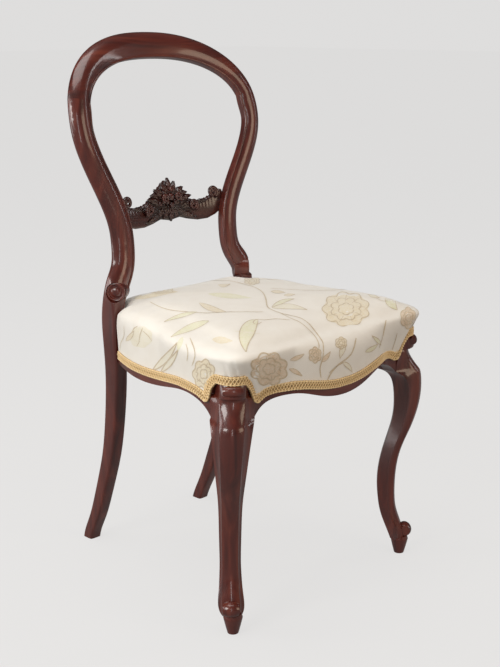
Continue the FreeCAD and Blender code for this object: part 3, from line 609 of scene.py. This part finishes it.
def makeCover(v):
    rows = coverOutline(v)
    rings = v["rings"]
    points = []
    for direction, radius, low, top in rows:
        controls = coverProfile(v, direction, radius, low, top)
        for k in range(rings):
            r, z = splinePoint(controls, k / rings)
            x = direction.x * r
            y = v["centreY"] + direction.y * r
            sunk = pleatDepth(v, x, y, z, low)
            points.append((x - direction.x * sunk, y - direction.y * sunk, z))
    centre = len(points)
    points.append((0, v["centreY"], v["crown"]))
    faces = []
    for i in range(len(rows)):
        j = (i + 1) % len(rows)
        for k in range(rings - 1):
            faces.append((i * rings + k, j * rings + k, j * rings + k + 1, i * rings + k + 1))
        faces.append((i * rings + rings - 1, j * rings + rings - 1, centre))
    piece = makeMesh("seat_cover_drawn", points, faces, ["figuredSilk"])
    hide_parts("seat_cover", "wadding_layer", "calico_undercover", "hair_stuffing")
    return piece, rows, treeOf([Vector(p) for p in points], faces)


coverPiece, coverRows, coverTree = makeCover(seat)
print("seat cover made")

# Figure of the silk: vines, leaves and full-blown flowers. Their places are pixels of the photograph, carried to
# the cover by sight lines; the last number of a leaf or flower is its outline's width
figure = {
    "lineWidth": 0.0018,
    "lift": 0.00022,
    "castLength": 4.0,
    "lowest": 0.345,
    "longestSides": (0.02, 0.03),
    "lineStep": 1.3,
    "leafStep": 1.6,
    "leafColumns": (-1, -0.5, 0, 0.5, 1),
    "flowerPoints": 48,
    "flowerRings": (0.02, 0.3, 0.55, 0.8, 1.0),
    # Share of the flower's size, turn and how many lobes fewer
    "petalRings": ((1.0, 0.0, 0), (0.66, 0.4, 1), (0.34, 0.1, 3)),
    "veinPoints": (0.42, 0.62, 0.8),
    "stems": [
        ([(150, 302), (160, 307), (170, 310), (182, 311.5), (205, 313), (232, 312), (264, 312)], 0.9),
        ([(180, 284), (195, 281.5), (212, 280.5), (230, 281), (245, 284.5), (256, 288), (263, 293), (266, 300),
          (267, 306), (271, 309.5), (280, 313), (290, 315.5), (300, 318), (308, 323), (314, 330), (320, 338),
          (323, 344), (323, 356), (320, 368), (321, 378)], 1.15),
        ([(278, 312), (290, 318), (300, 322.5), (309, 330), (316, 338), (319, 346), (317, 352)], 0.9),
        ([(262, 322), (257, 324.5), (253, 322.5), (257, 319.5), (264, 320), (276, 319), (290, 320)], 0.9),
        ([(270, 288.5), (290, 289.5), (315, 290.5), (345, 289.8)], 0.9),
        ([(262, 279), (280, 280), (298, 282)], 1.1),
        ([(186, 344), (188, 352), (187, 361)], 1.1),
        ([(190, 338), (194, 348), (195, 356), (192, 366)], 1.0),
        ([(139, 342), (140.5, 334), (143, 327.5)], 1.2),
        ([(132, 333), (134, 328.5), (138, 326)], 1.0),
        ([(143, 331), (148, 335.5), (152, 341)], 1.0),
        ([(137, 346), (140, 341)], 1.2),
        ([(327, 381), (331, 373), (338, 365), (346, 359), (351, 354), (354, 347), (356, 338)], 1.6),
        ([(329, 373), (337, 366), (344, 362)], 1.2),
        ([(379, 348), (382, 339), (384, 330), (386, 320)], 1.5),
        ([(392, 350), (395, 341), (397, 333)], 1.2),
        ([(376, 298), (382, 301), (388, 301)], 0.9),
        ([(120, 350), (121, 343), (124, 336), (124, 326)], 0.9),
    ],
    "leaves": [
        ((208, 294), (252, 298), 5.0, 0.0, "figureGreen", 0.0),
        ((218, 285), (230, 284), 3.0, 0.2, "figureSand", 0.8),
        ((134, 299), (178, 292), 8.0, -0.12, "figureSand", 0.0),
        ((199, 303), (226, 312), 5.0, 0.10, "figureSand", 0.8),
        ((197, 312), (164, 322), 3.6, 0.06, "figureGreen", 0.7),
        ((209, 321), (171, 337), 6.5, 0.05, "figureGreen", 0.7),
        ((212, 339.5), (233, 341), 7.0, 0.0, "figureSand", 0.0),
        ((258, 320), (246, 352), 14.0, 0.36, "figureGreen", 0.8),
        ((271, 291.5), (285, 292.5), 3.0, 0.0, "figureSand", 0.7),
        ((284, 295.5), (295, 294.5), 2.4, 0.0, "figureSand", 0.6),
        ((272, 307), (294, 299), 3.6, -0.12, "figureGreen", 0.7),
        ((272, 308), (307, 310), 5.0, -0.14, "figurePale", 0.8),
        ((368, 294.5), (379, 298), 3.0, 0.0, "figurePale", 0.9),
        ((387, 294), (397, 310), 9.0, 0.12, "figureGreen", 0.7),
        ((153, 370), (177, 343), 6.0, 0.10, "figurePale", 1.2),
        ((161, 372), (178, 350), 5.0, 0.10, "figurePale", 1.1),
        ((126, 341), (134, 331), 4.0, 0.1, "figureSand", 0.7),
        ((183, 337), (178, 352), 5.0, 0.1, "figureGreen", 0.0),
        ((233, 331), (262, 334), 1.0, 0.0, "figurePale", 0.0),
        ((345, 345), (340, 358), 5.0, 0.1, "figurePale", 0.6),
        ((342, 362), (352, 372), 4.0, -0.2, "figurePale", 0.7),
        ((321, 362), (330, 352), 4.0, 0.1, "figureRose", 0.9),
        ((365, 352), (378, 344), 4.0, 0.1, "figureGreen", 0.7),
        ((381, 345), (372, 336), 3.4, 0.1, "figureGreen", 0.7),
        ((290, 360), (304, 354), 4.0, 0.1, "figureRose", 0.7),
        ((289, 369), (302, 376), 4.0, -0.1, "figureRose", 0.7),
        ((300, 283), (330, 284), 2.0, 0.0, "figureSand", 0.0),
    ],
    "flowers": [
        ((346, 309), 24.0, 17.5, 9, "figureSand", 1.0),
        ((269, 369), 19.0, 17.0, 8, "figureRose", 1.3),
        ((204, 374), 11.5, 15.0, 7, "figureSand", 1.2),
        ((252, 281), 8.0, 4.2, 6, "figureSand", 0.8),
        ((315, 355), 6.5, 8.0, 6, "figureRose", 1.0),
        ((408, 318), 8.0, 11.0, 6, "figureRose", 1.0),
        ((341, 343), 6.0, 6.0, 6, "figureSand", 0.8),
        ((141, 337), 12.0, 11.0, 7, "figurePale", 0.0),
        ((160, 290.5), 14.0, 3.4, 6, "figureSand", 0.6),
    ],
    "finishes": ["figureLine", "figureGreen", "figureSand", "figurePale", "figureRose"],
}

# Ways of looking at the cover: as photographed, mirrored for the far side, and from behind for the back
sightLines = {"photo": (1, 1, 0.0), "mirrored": (-1, 1, 0.0), "behind": (1, -1, -0.06)}


def makeFigure(name, v, view, xRange, yRange):
    flipX, flipY, about = sightLines[view]
    place = Vector(cameraView["place"])
    turn = facing(cameraView["place"], cameraView["aim"])
    wide, high = cameraView["photo"]
    focal = cameraView["lens"] / cameraView["sensor"] * high
    origin = Vector((place.x * flipX, place.y * flipY + about, place.z))
    vertices = []
    faces = []
    finish = []

    def inside(x, y):
        return xRange[0] < x < xRange[1] and yRange[0] < y < yRange[1]

    def cast(px, py):
        way = turn @ Vector(((px - wide / 2) / focal, (high / 2 - py) / focal, -1))
        way = Vector((way.x * flipX, way.y * flipY, way.z)).normalized()
        hit = coverTree.ray_cast(origin, way, v["castLength"])
        if hit[0] is None or hit[0].z < v["lowest"]:
            return None
        return (hit[0], hit[1] if hit[1].dot(way) < 0 else -hit[1])

    def grid(rowsOfHits, lift, colour):
        start = len(vertices)
        width = len(rowsOfHits[0])
        good = []
        for row in rowsOfHits:
            for hit in row:
                good.append(hit is not None)
                vertices.append(hit[0] + hit[1] * lift if hit else origin)
        for a in range(len(rowsOfHits) - 1):
            for b in range(width - 1):
                corner = [start + a * width + b, start + a * width + b + 1, start + (a + 1) * width + b + 1,
                          start + (a + 1) * width + b]
                if not all(good[c - start] for c in corner):
                    continue
                # No face across a step of the cover
                first, second, third = (vertices[c] for c in corner[:3])
                along, across = v["longestSides"]
                if (second - first).length > along or (third - second).length > across:
                    continue
                outward = (second - first).cross(third - second).dot(rowsOfHits[a][b][1]) > 0
                faces.append(corner if outward else corner[::-1])
                finish.append(v["finishes"].index(colour))

    def ribbon(points, scale):
        smooth = []
        for k in range(len(points) - 1):
            around = [points[max(k - 1, 0)], points[k], points[k + 1], points[min(k + 2, len(points) - 1)]]
            steps = max(2, int(math.dist(points[k], points[k + 1]) / v["lineStep"]))
            for n in range(steps):
                t = n / steps
                smooth.append(tuple(0.5 * (2 * b + (c - a) * t + (2 * a - 5 * b + 4 * c - d) * t * t
                                           + (3 * b - a - 3 * c + d) * t ** 3)
                                    for a, b, c, d in zip(*around)))
        smooth.append(points[-1])
        hits = [cast(*p) for p in smooth if inside(*p)]
        hits = [h for h in hits if h]
        rowsOfHits = []
        for k, (spot, normal) in enumerate(hits):
            before = hits[max(k - 1, 0)][0]
            after = hits[min(k + 1, len(hits) - 1)][0]
            if (after - before).length < 1e-7:
                continue
            side = normal.cross(after - before).normalized() * (v["lineWidth"] * scale / 2)
            fade = min(1.0, 0.35 + k / 5, 0.35 + (len(hits) - 1 - k) / 5)
            rowsOfHits.append([(spot + side * fade, normal), (spot - side * fade, normal)])
        if len(rowsOfHits) > 1:
            grid(rowsOfHits, v["lift"] * 1.7, "figureLine")

    def leaf(base, tip, width, bend, colour, line):
        if not inside((base[0] + tip[0]) / 2, (base[1] + tip[1]) / 2):
            return
        steps = max(8, int(math.dist(base, tip) / v["leafStep"]))
        rowsOfHits = []
        left = []
        right = []
        for k in range(steps + 1):
            t = k / steps
            x, y, wayX, wayY = bentLine(base, tip, bend, t)
            half = width / 2 * (math.sin(math.pi * t ** 0.8) + 0.02)
            rowsOfHits.append([cast(x - wayY * half * s, y + wayX * half * s) for s in v["leafColumns"]])
            left.append((x - wayY * half, y + wayX * half))
            right.append((x + wayY * half, y - wayX * half))
        grid(rowsOfHits, v["lift"], colour)
        if line:
            ribbon(left[::2] + right[::-2] + [left[0]], line)

    def flower(middle, rx, ry, lobes, colour, line):
        if not inside(*middle):
            return
        turns = [2 * math.pi * k / v["flowerPoints"] for k in range(v["flowerPoints"] + 1)]

        def spot(r, a):
            return (middle[0] + rx * r * math.cos(a), middle[1] + ry * r * math.sin(a))

        rowsOfHits = []
        for ring in v["flowerRings"]:
            rowsOfHits.append([cast(*spot(ring * (0.90 + 0.10 * abs(math.sin(lobes * a / 2)) * ring), a))
                               for a in turns])
        grid(rowsOfHits, v["lift"], colour)
        if not line:
            return
        for ring, turned, fewer in v["petalRings"]:
            petals = lobes - fewer
            ribbon([spot(ring * (0.80 + 0.20 * abs(math.sin(petals * (a + turned) / 2))), a + turned)
                    for a in turns], line)
        for k in range(lobes):
            a = 2 * math.pi * (k + 0.5) / lobes
            ribbon([spot(r, a + 0.25 * r) for r in v["veinPoints"]], line * 0.8)

    for entry in v["leaves"]:
        leaf(*entry)
    for entry in v["flowers"]:
        flower(*entry)
    for points, scale in v["stems"]:
        ribbon(points, scale)
    used = sorted({c for f in faces for c in f})
    number = {c: n for n, c in enumerate(used)}
    faces = [[number[c] for c in f] for f in faces]
    piece = makeMesh(name, [vertices[c] for c in used], faces, v["finishes"], finish)
    piece.parent = coverPiece


makeFigure("silk_figure_front", figure, "photo", (100, 430), (270, 400))
makeFigure("silk_figure_far_side", figure, "mirrored", (100, 217), (326, 400))
makeFigure("silk_figure_back", figure, "behind", (255, 400), (338, 400))
print("figure of the silk made")

# Braid: two cords winding through one another between looped edges
braid = {
    "halfWidth": 0.0069,
    "step": 0.00055,
    "columns": 15,
    "pitch": 0.0100,
    "cordRadius": 0.0014,
    "cordRise": 0.0018,
    "overUnder": (0.82, 0.18),
    "loopPitch": 0.0050,
    "loopPower": 0.6,
    "loopPlace": 0.84,
    "loopRadius": 0.95,
    "loopHeight": (0.35, 0.65),
    "scallop": 0.10,
    "ground": 0.0005,
    "stand": 0.0012,
    "sink": 0.0006,
    # Wider where it hangs lowest, beside the front legs
    "spread": 0.35,
    "spreadSpan": (0.358, -0.010),
    # Counted in points of the line
    "directionReach": 3,
    "outwardReach": 12,
    "smoothReach": 5,
    "smoothPasses": 2,
    "rearHeight": 0.398,
    "rearSide": 0.6,
    "endGap": 0.001,
}


def braidHeight(v, along, across):
    rise = 0.0
    base, wave = v["overUnder"]
    for start in (0.0, math.pi):
        turn = 2 * math.pi * along / v["pitch"] + start
        share = 1 - ((across - v["halfWidth"] * 0.5 * math.sin(turn)) / v["cordRadius"]) ** 2
        if share > 0:
            rise = max(rise, v["cordRise"] * (base + wave * math.cos(turn)) * math.sqrt(share))
    edge = 1 - ((abs(across) - v["halfWidth"] * v["loopPlace"]) / (v["cordRadius"] * v["loopRadius"])) ** 2
    if edge > 0:
        flat, high = v["loopHeight"]
        loop = abs(math.sin(math.pi * along / v["loopPitch"])) ** v["loopPower"]
        rise = max(rise, v["cordRise"] * math.sqrt(edge) * (flat + high * loop))
    return rise


# Ribbon over a line of (place, outward) points, its relief worked into the mesh
def makeBraid(name, points, v, nodes):
    vertices = []
    heights = []
    columns = v["columns"]
    width = columns + 2
    length = 0.0
    for k, (place, outward) in enumerate(points):
        before = points[max(k - v["directionReach"], 0)][0]
        after = points[min(k + v["directionReach"], len(points) - 1)][0]
        upward = outward.cross((after - before).normalized()).normalized()
        if upward.z < 0:
            upward = -upward
        if k:
            length += (place - points[k - 1][0]).length
        spread = 1 + v["spread"] * climb(place.z, *v["spreadSpan"])
        scallop = v["scallop"] * abs(math.sin(math.pi * length / v["loopPitch"])) ** v["loopPower"]
        loop = spread + scallop - v["scallop"] / 2
        for c in range(width):
            # The outermost columns go down into the cover
            if c in (0, width - 1):
                s = -1.0 if c == 0 else 1.0
                rise = -v["stand"] - v["sink"]
            else:
                s = 2 * (c - 1) / (columns - 1) - 1
                rise = 0.0 if abs(s) == 1 else braidHeight(v, length, s * v["halfWidth"]) + v["ground"]
            heights.append(climb(rise, v["ground"], v["cordRise"]))
            vertices.append(place + upward * (s * v["halfWidth"] * loop) + outward * (v["stand"] + rise))
    faces = [(a, a + 1, a + width + 1, a + width)
             for k in range(len(points) - 1) for a in range(k * width, (k + 1) * width - 1)]
    a, b, c, d = faces[len(faces) // 2]
    normal = (vertices[b] - vertices[a]).cross(vertices[c] - vertices[b])
    if normal.dot(points[a // width][1]) < 0:
        faces = [f[::-1] for f in faces]
    piece = makeMesh(name, vertices, faces, ["gimp"], rises=heights)
    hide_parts(*nodes)


# Line along the cover's lower edge from one rear leg round the front to the other
def braidLine(rows, v):
    start = next(i for i, (direction, radius, low, top) in enumerate(rows)
                 if direction.y > 0 and direction.x < -v["rearSide"] and low < v["rearHeight"])
    raw = []
    for i in range(start, start + len(rows) + 1):
        direction, radius, low, top = rows[i % len(rows)]
        if direction.y > 0 and direction.x > 0 and low > v["rearHeight"]:
            break
        raw.append(Vector((direction.x * radius, seat["centreY"] + direction.y * radius, low)))
    line = [raw[0]]
    for p in raw[1:]:
        while (p - line[-1]).length > v["step"]:
            line.append(line[-1] + (p - line[-1]).normalized() * v["step"])
    for turn in range(v["smoothPasses"]):
        smooth = []
        for k in range(len(line)):
            near = min(k, len(line) - 1 - k, v["smoothReach"])
            chosen = line[k - near:k + near + 1]
            smooth.append(sum(chosen, Vector((0, 0, 0))) / len(chosen))
        line = smooth
    points = []
    for k, p in enumerate(line):
        flat = line[min(k + v["outwardReach"], len(line) - 1)] - line[max(k - v["outwardReach"], 0)]
        outward = Vector((flat.y, -flat.x, 0)).normalized()
        if outward.dot(p - Vector((0, seat["centreY"], p.z))) < 0:
            outward = -outward
        points.append((p, outward))
    return points


# Straight line across the back, where the CAD braid lies
def backLine(v):
    backLow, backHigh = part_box("gimp_braid_back")
    count = int((backHigh[0] - backLow[0] - 2 * v["endGap"]) / v["step"])
    height = (backLow[2] + backHigh[2]) / 2
    return [(Vector((backLow[0] + v["endGap"] + k * v["step"], backLow[1], height)), Vector((0, 1, 0)))
            for k in range(count + 1)]


makeBraid("gimp_round_seat", braidLine(coverRows, braid), braid, ["gimp_braid"])
makeBraid("gimp_at_back", backLine(braid), braid, ["gimp_braid_back"])
print("braid made")

# Carved splat: a board following the curve of the back, with leaves and volutes standing on it. The first seven
# values are in metres, all other lengths in millimetres
carving = {
    "reach": 0.118,
    "hollow": 0.0095,
    "thickness": 0.0115,
    "setBack": 0.0038,
    "leanX": 0.070,
    "leanHeights": (0.575, 0.590),
    "rayLength": 0.5,
    "fullRise": 8.0,
    "boardSteps": 12,
    "boardSwell": (-1.2, 2.0, 0.6),
    "scallop": (0.9, 0.9),
    "backEase": 1.5,
    # Least rise share on the board's back and towards its ends, which keeps the painted shade lighter there
    "backPlain": 0.6,
    "endPlain": 0.65,
    "endSpan": (34, 20),
    "upper": [(0, 634), (8, 630), (20, 620), (34, 609), (49, 599), (67, 594), (84, 596), (95, 600), (106, 606),
              (118, 611)],
    "lower": [(0, 567), (10, 569), (22, 571), (41, 565.5), (61, 562), (83, 562.5), (101, 568.5), (118, 579)],
    "leafSteps": 26,
    "leafRibs": 12,
    "leafSink": 1.0,
    "lobeDepth": 0.20,
    "lobes": 3.5,
    "veinDepth": 0.16,
    "veins": 4.5,
    "veinSlant": 1.4,
    "ribDepth": 0.34,
    "ribWidth": 0.14,
    "leaves": [
        ((28, 588), (62, 590), 15, 0.10, 5.5),
        ((24, 582), (58, 568), 13, -0.12, 5.0),
        ((58, 590), (84, 594), 9, 0.14, 4.0),
        ((10, 594), (50, 606), 14, 0.10, 6.5),
        ((6, 602), (33, 622), 15, 0.08, 7.0),
        ((3, 604), (15, 633), 14, 0.05, 7.5),
        ((5, 596), (17, 571), 13, -0.10, 6.0),
        ((12, 592), (32, 576), 12, -0.10, 5.4),
        ((0, 604), (0, 640), 14, 0.0, 9.0),
        ((0, 598), (0, 566), 13, 0.0, 7.5),
        ((18, 606), (42, 612), 10, 0.2, 6.0),
    ],
    "tubeSides": 10,
    "voluteSteps": 49,
    "voluteStart": -1.2,
    "voluteTurns": 1.7,
    "voluteClosing": 0.80,
    "voluteTaper": 0.35,
    "voluteClimb": 2.0,
    "volutes": [((50, 590), 9.0, 3.0, 5.0), ((97, 607.5), 9.5, 3.6, 1.0), ((14, 607), 7.0, 2.4, 9.0)],
    "berryRings": 8,
    "berrySides": 14,
    "berries": [(0, 608, 7.0, 12.0), (0, 595, 5.0, 11.0), (9, 600, 4.6, 10.0), (0, 621, 4.0, 12.0),
                (24, 598, 3.8, 8.0)],
}


def makeCarving(v):
    tree = nodeTree("carved_splat")
    lower, upper = v["leanHeights"]
    faceLower, faceUpper = [tree.ray_cast(Vector((v["leanX"], 0, z)), Vector((0, 1, 0)), v["rayLength"])[0].y
                            for z in (lower, upper)]
    lean = (faceUpper - faceLower) / (upper - lower)
    vertices = []
    faces = []
    rises = []

    def front(x, z):
        share = min(abs(x) / 1000 / v["reach"], 1.0)
        return faceLower + lean * (z / 1000 - lower) + v["setBack"] + v["hollow"] * (1 - share * share)

    def add(x, z, rise, plain=0.0):
        vertices.append(Vector((x / 1000, front(x, z) - rise / 1000, z / 1000)))
        rises.append(max(plain, min(rise / v["fullRise"], 1.0)))
        return len(vertices) - 1

    def sheet(rows, flip, closed=False):
        width = len(rows[0])
        for a in range(len(rows) - 1):
            for b in range(width if closed else width - 1):
                corner = (rows[a][b], rows[a + 1][b], rows[a + 1][(b + 1) % width], rows[a][(b + 1) % width])
                faces.append(corner[::-1] if flip else corner)

    # Front, upper edge, back and lower edge in one closed ring per column
    def board():
        columns = []
        half = int(v["reach"] * 1000)
        steps = v["boardSteps"]
        dip, swell, power = v["boardSwell"]
        height, often = v["scallop"]
        for x in range(-half, half + 1):
            top = between(v["upper"], abs(x)) + height * math.sin(abs(x) * often)
            low = between(v["lower"], abs(x))
            plain = v["endPlain"] * climb(abs(x), *v["endSpan"])
            ring = []
            for k in range(steps + 1):
                rise = dip + swell * math.sin(math.pi * k / steps) ** power
                ring.append(add(x, low + (top - low) * k / steps, rise, plain))
            for k in range(steps + 1):
                rise = (v["backEase"] if k in (0, steps) else 0.0) - v["thickness"] * 1000
                ring.append(add(x, top - (top - low) * k / steps, rise, v["backPlain"]))
            columns.append(ring)
        sheet(columns, True, True)
        faces.append(columns[0])
        faces.append(columns[-1][::-1])

    def leaf(base, tip, width, bend, rise, side):
        rows = []
        for k in range(v["leafSteps"] + 1):
            t = k / v["leafSteps"]
            x, z, wayX, wayZ = bentLine(base, tip, bend, t)
            lobe = 1 - v["lobeDepth"] + v["lobeDepth"] * abs(math.sin(v["lobes"] * math.pi * t))
            blade = max(0.0, math.sin(math.pi * min(t * 0.94 + 0.05, 1.0) ** 0.8)) ** 0.65
            reach = width / 2 * blade * lobe + 0.2
            row = []
            for c in range(v["leafRibs"] + 1):
                s = 2 * c / v["leafRibs"] - 1
                crown = math.sqrt(max(0.0, 1 - s * s))
                vein = v["veinDepth"] * math.cos(2 * math.pi * (v["veins"] * t - v["veinSlant"] * abs(s)))
                height = rise * (0.45 + 0.55 * math.sin(math.pi * t ** 1.3)) * crown * (1 + vein)
                height -= rise * v["ribDepth"] * math.exp(-(s / v["ribWidth"]) ** 2) * crown
                row.append(add(side * (x - wayZ * reach * s), z + wayX * reach * s, height - v["leafSink"]))
            rows.append(row)
        sheet(rows, side < 0)

    def tube(centres, radii, side):
        rows = []
        for k, (x, z, lift) in enumerate(centres):
            ahead = centres[min(k + 1, len(centres) - 1)]
            behind = centres[max(k - 1, 0)]
            wayX = ahead[0] - behind[0]
            wayZ = ahead[1] - behind[1]
            size = math.hypot(wayX, wayZ) or 1
            row = []
            for c in range(v["tubeSides"]):
                a = 2 * math.pi * c / v["tubeSides"]
                out = radii[k] * math.cos(a)
                row.append(add(side * (x - wayZ / size * out), z + wayX / size * out,
                               lift + radii[k] * math.sin(a)))
            rows.append(row)
        sheet(rows, side < 0, True)
        faces.append(rows[0] if side < 0 else rows[0][::-1])
        faces.append(rows[-1][::-1] if side < 0 else rows[-1])

    def volute(middle, radius, thick, lift, side):
        centres = []
        radii = []
        for k in range(v["voluteSteps"] + 1):
            t = k / v["voluteSteps"]
            a = v["voluteStart"] + v["voluteTurns"] * 2 * math.pi * t
            r = radius * (1 - v["voluteClosing"] * t)
            centres.append((middle[0] + r * math.cos(a), middle[1] + r * math.sin(a),
                            lift + v["voluteClimb"] * t))
            radii.append(thick * (1 - v["voluteTaper"] * t))
        tube(centres, radii, side)

    # A ball, cut a little short at the front and the back
    def berry(x0, z0, radius, lift, side):
        rows = []
        for k in range(v["berryRings"] + 1):
            a = math.pi * (0.02 + 0.96 * k / v["berryRings"])
            wide = radius * math.sin(a)
            row = []
            for c in range(v["berrySides"]):
                b = 2 * math.pi * c / v["berrySides"]
                row.append(add(side * x0 + wide * math.cos(b), z0 + wide * math.sin(b),
                               lift - radius + radius * math.cos(a)))
            rows.append(row)
        sheet(rows, False, True)
        faces.append(rows[0])
        faces.append(rows[-1][::-1])

    board()
    for base, tip, width, bend, rise in v["leaves"]:
        for side in ((1, -1) if base[0] or tip[0] else (1,)):
            leaf(base, tip, width, bend, rise, side)
    for middle, radius, thick, lift in v["volutes"]:
        for side in (1, -1):
            volute(middle, radius, thick, lift, side)
    for x, z, radius, lift in v["berries"]:
        for side in ((1, -1) if x else (1,)):
            berry(x, z, radius, lift, side)
    piece = makeMesh("splat_carved", vertices, faces, ["mahoganyCarved"], rises=rises)
    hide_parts("carved_splat", "splat_dowels")


makeCarving(carving)
print("splat carved")

# Floor, backdrop and lamps. A lamp has its name, place, width, height, power and colour
studio = {
    "floorHalf": 30.0,
    "backdrop": (0.735, 0.728, 0.722),
    "floorGlow": 0.94,
    "floorAmbient": 0.7,
    "floorColour": (0.10, 0.098, 0.096),
    "floorRoughness": 0.9,
    "lampAim": (0, 0, 0.45),
    "lamps": [
        ("keyLamp", (-2.4, -0.1, 1.5), 1.1, 1.1, 33.0, (1.0, 0.98, 0.95)),
        ("topLamp", (-0.3, 0.1, 3.0), 1.8, 1.8, 28.5, (1.0, 0.985, 0.96)),
        ("stripLamp", (-1.7, -1.9, 1.05), 0.12, 1.7, 4.0, (1, 1, 1)),
        ("stripLamp", (2.0, -0.9, 1.2), 0.14, 1.5, 3.0, (1, 1, 1)),
        ("stripLamp", (-2.2, 1.9, 1.0), 1.3, 2.0, 26.0, (1, 1, 1)),
        ("fillLamp", (0.9, -3.0, 1.3), 1.6, 1.6, 23.0, (1.0, 0.80, 0.60)),
    ],
    "glossy": 0.05,
    "ambient": 0.31,
}


def makeLamp(name, place, width, height, power, colour, aim):
    data = bpy.data.lights.new(name, "AREA")
    data.shape = "RECTANGLE"
    data.size = width
    data.size_y = height
    data.energy = power
    data.color = colour
    lamp = bpy.data.objects.new(name, data)
    bpy.context.scene.collection.objects.link(lamp)
    lamp.location = place
    lamp.rotation_mode = "QUATERNION"
    lamp.rotation_quaternion = facing(place, aim)


def makeFloor(v):
    bpy.ops.object.select_all(action="DESELECT")
    bpy.ops.mesh.primitive_plane_add(size=2 * v["floorHalf"], location=(0, 0, 0))
    floor = bpy.context.object
    floor.name = "floor"
    material, tree, shader = newMaterial("floor")
    shader.inputs["Base Color"].default_value = (*v["floorColour"], 1)
    shader.inputs["Roughness"].default_value = v["floorRoughness"]
    shader.inputs["Specular IOR Level"].default_value = 0.0
    shader.inputs["Emission Color"].default_value = (*v["backdrop"], 1)
    seen = addNode(tree, "ShaderNodeLightPath").outputs["Is Camera Ray"]
    glow = rangeOf(tree, seen, v["ambient"] * v["floorAmbient"], v["floorGlow"])
    tree.links.new(glow, shader.inputs["Emission Strength"])
    # From below the floor isn't there
    under = addNode(tree, "ShaderNodeNewGeometry").outputs["Backfacing"]
    clear = addNode(tree, "ShaderNodeBsdfTransparent")
    choice = addNode(tree, "ShaderNodeMixShader")
    tree.links.new(under, choice.inputs[0])
    tree.links.new(shader.outputs[0], choice.inputs[1])
    tree.links.new(clear.outputs[0], choice.inputs[2])
    tree.links.new(choice.outputs[0], tree.nodes["Material Output"].inputs["Surface"])
    floor.data.materials.append(material)


# The camera sees the backdrop, polished wood a dark room and everything else the ambient light
def makeWorld(v):
    world = bpy.data.worlds.new("world")
    bpy.context.scene.world = world
    world.use_nodes = True
    tree = world.node_tree
    seen = addNode(tree, "ShaderNodeLightPath").outputs["Is Camera Ray"]
    mirrored = addNode(tree, "ShaderNodeLightPath").outputs["Is Glossy Ray"]
    around = mixed(tree, mirrored, (v["ambient"],) * 3, (v["glossy"],) * 3)
    shown = mixed(tree, seen, around, v["backdrop"])
    tree.links.new(shown, tree.nodes["Background"].inputs["Color"])


makeFloor(studio)
makeWorld(studio)
for lamp in studio["lamps"]:
    makeLamp(*lamp, studio["lampAim"])
print("studio made")
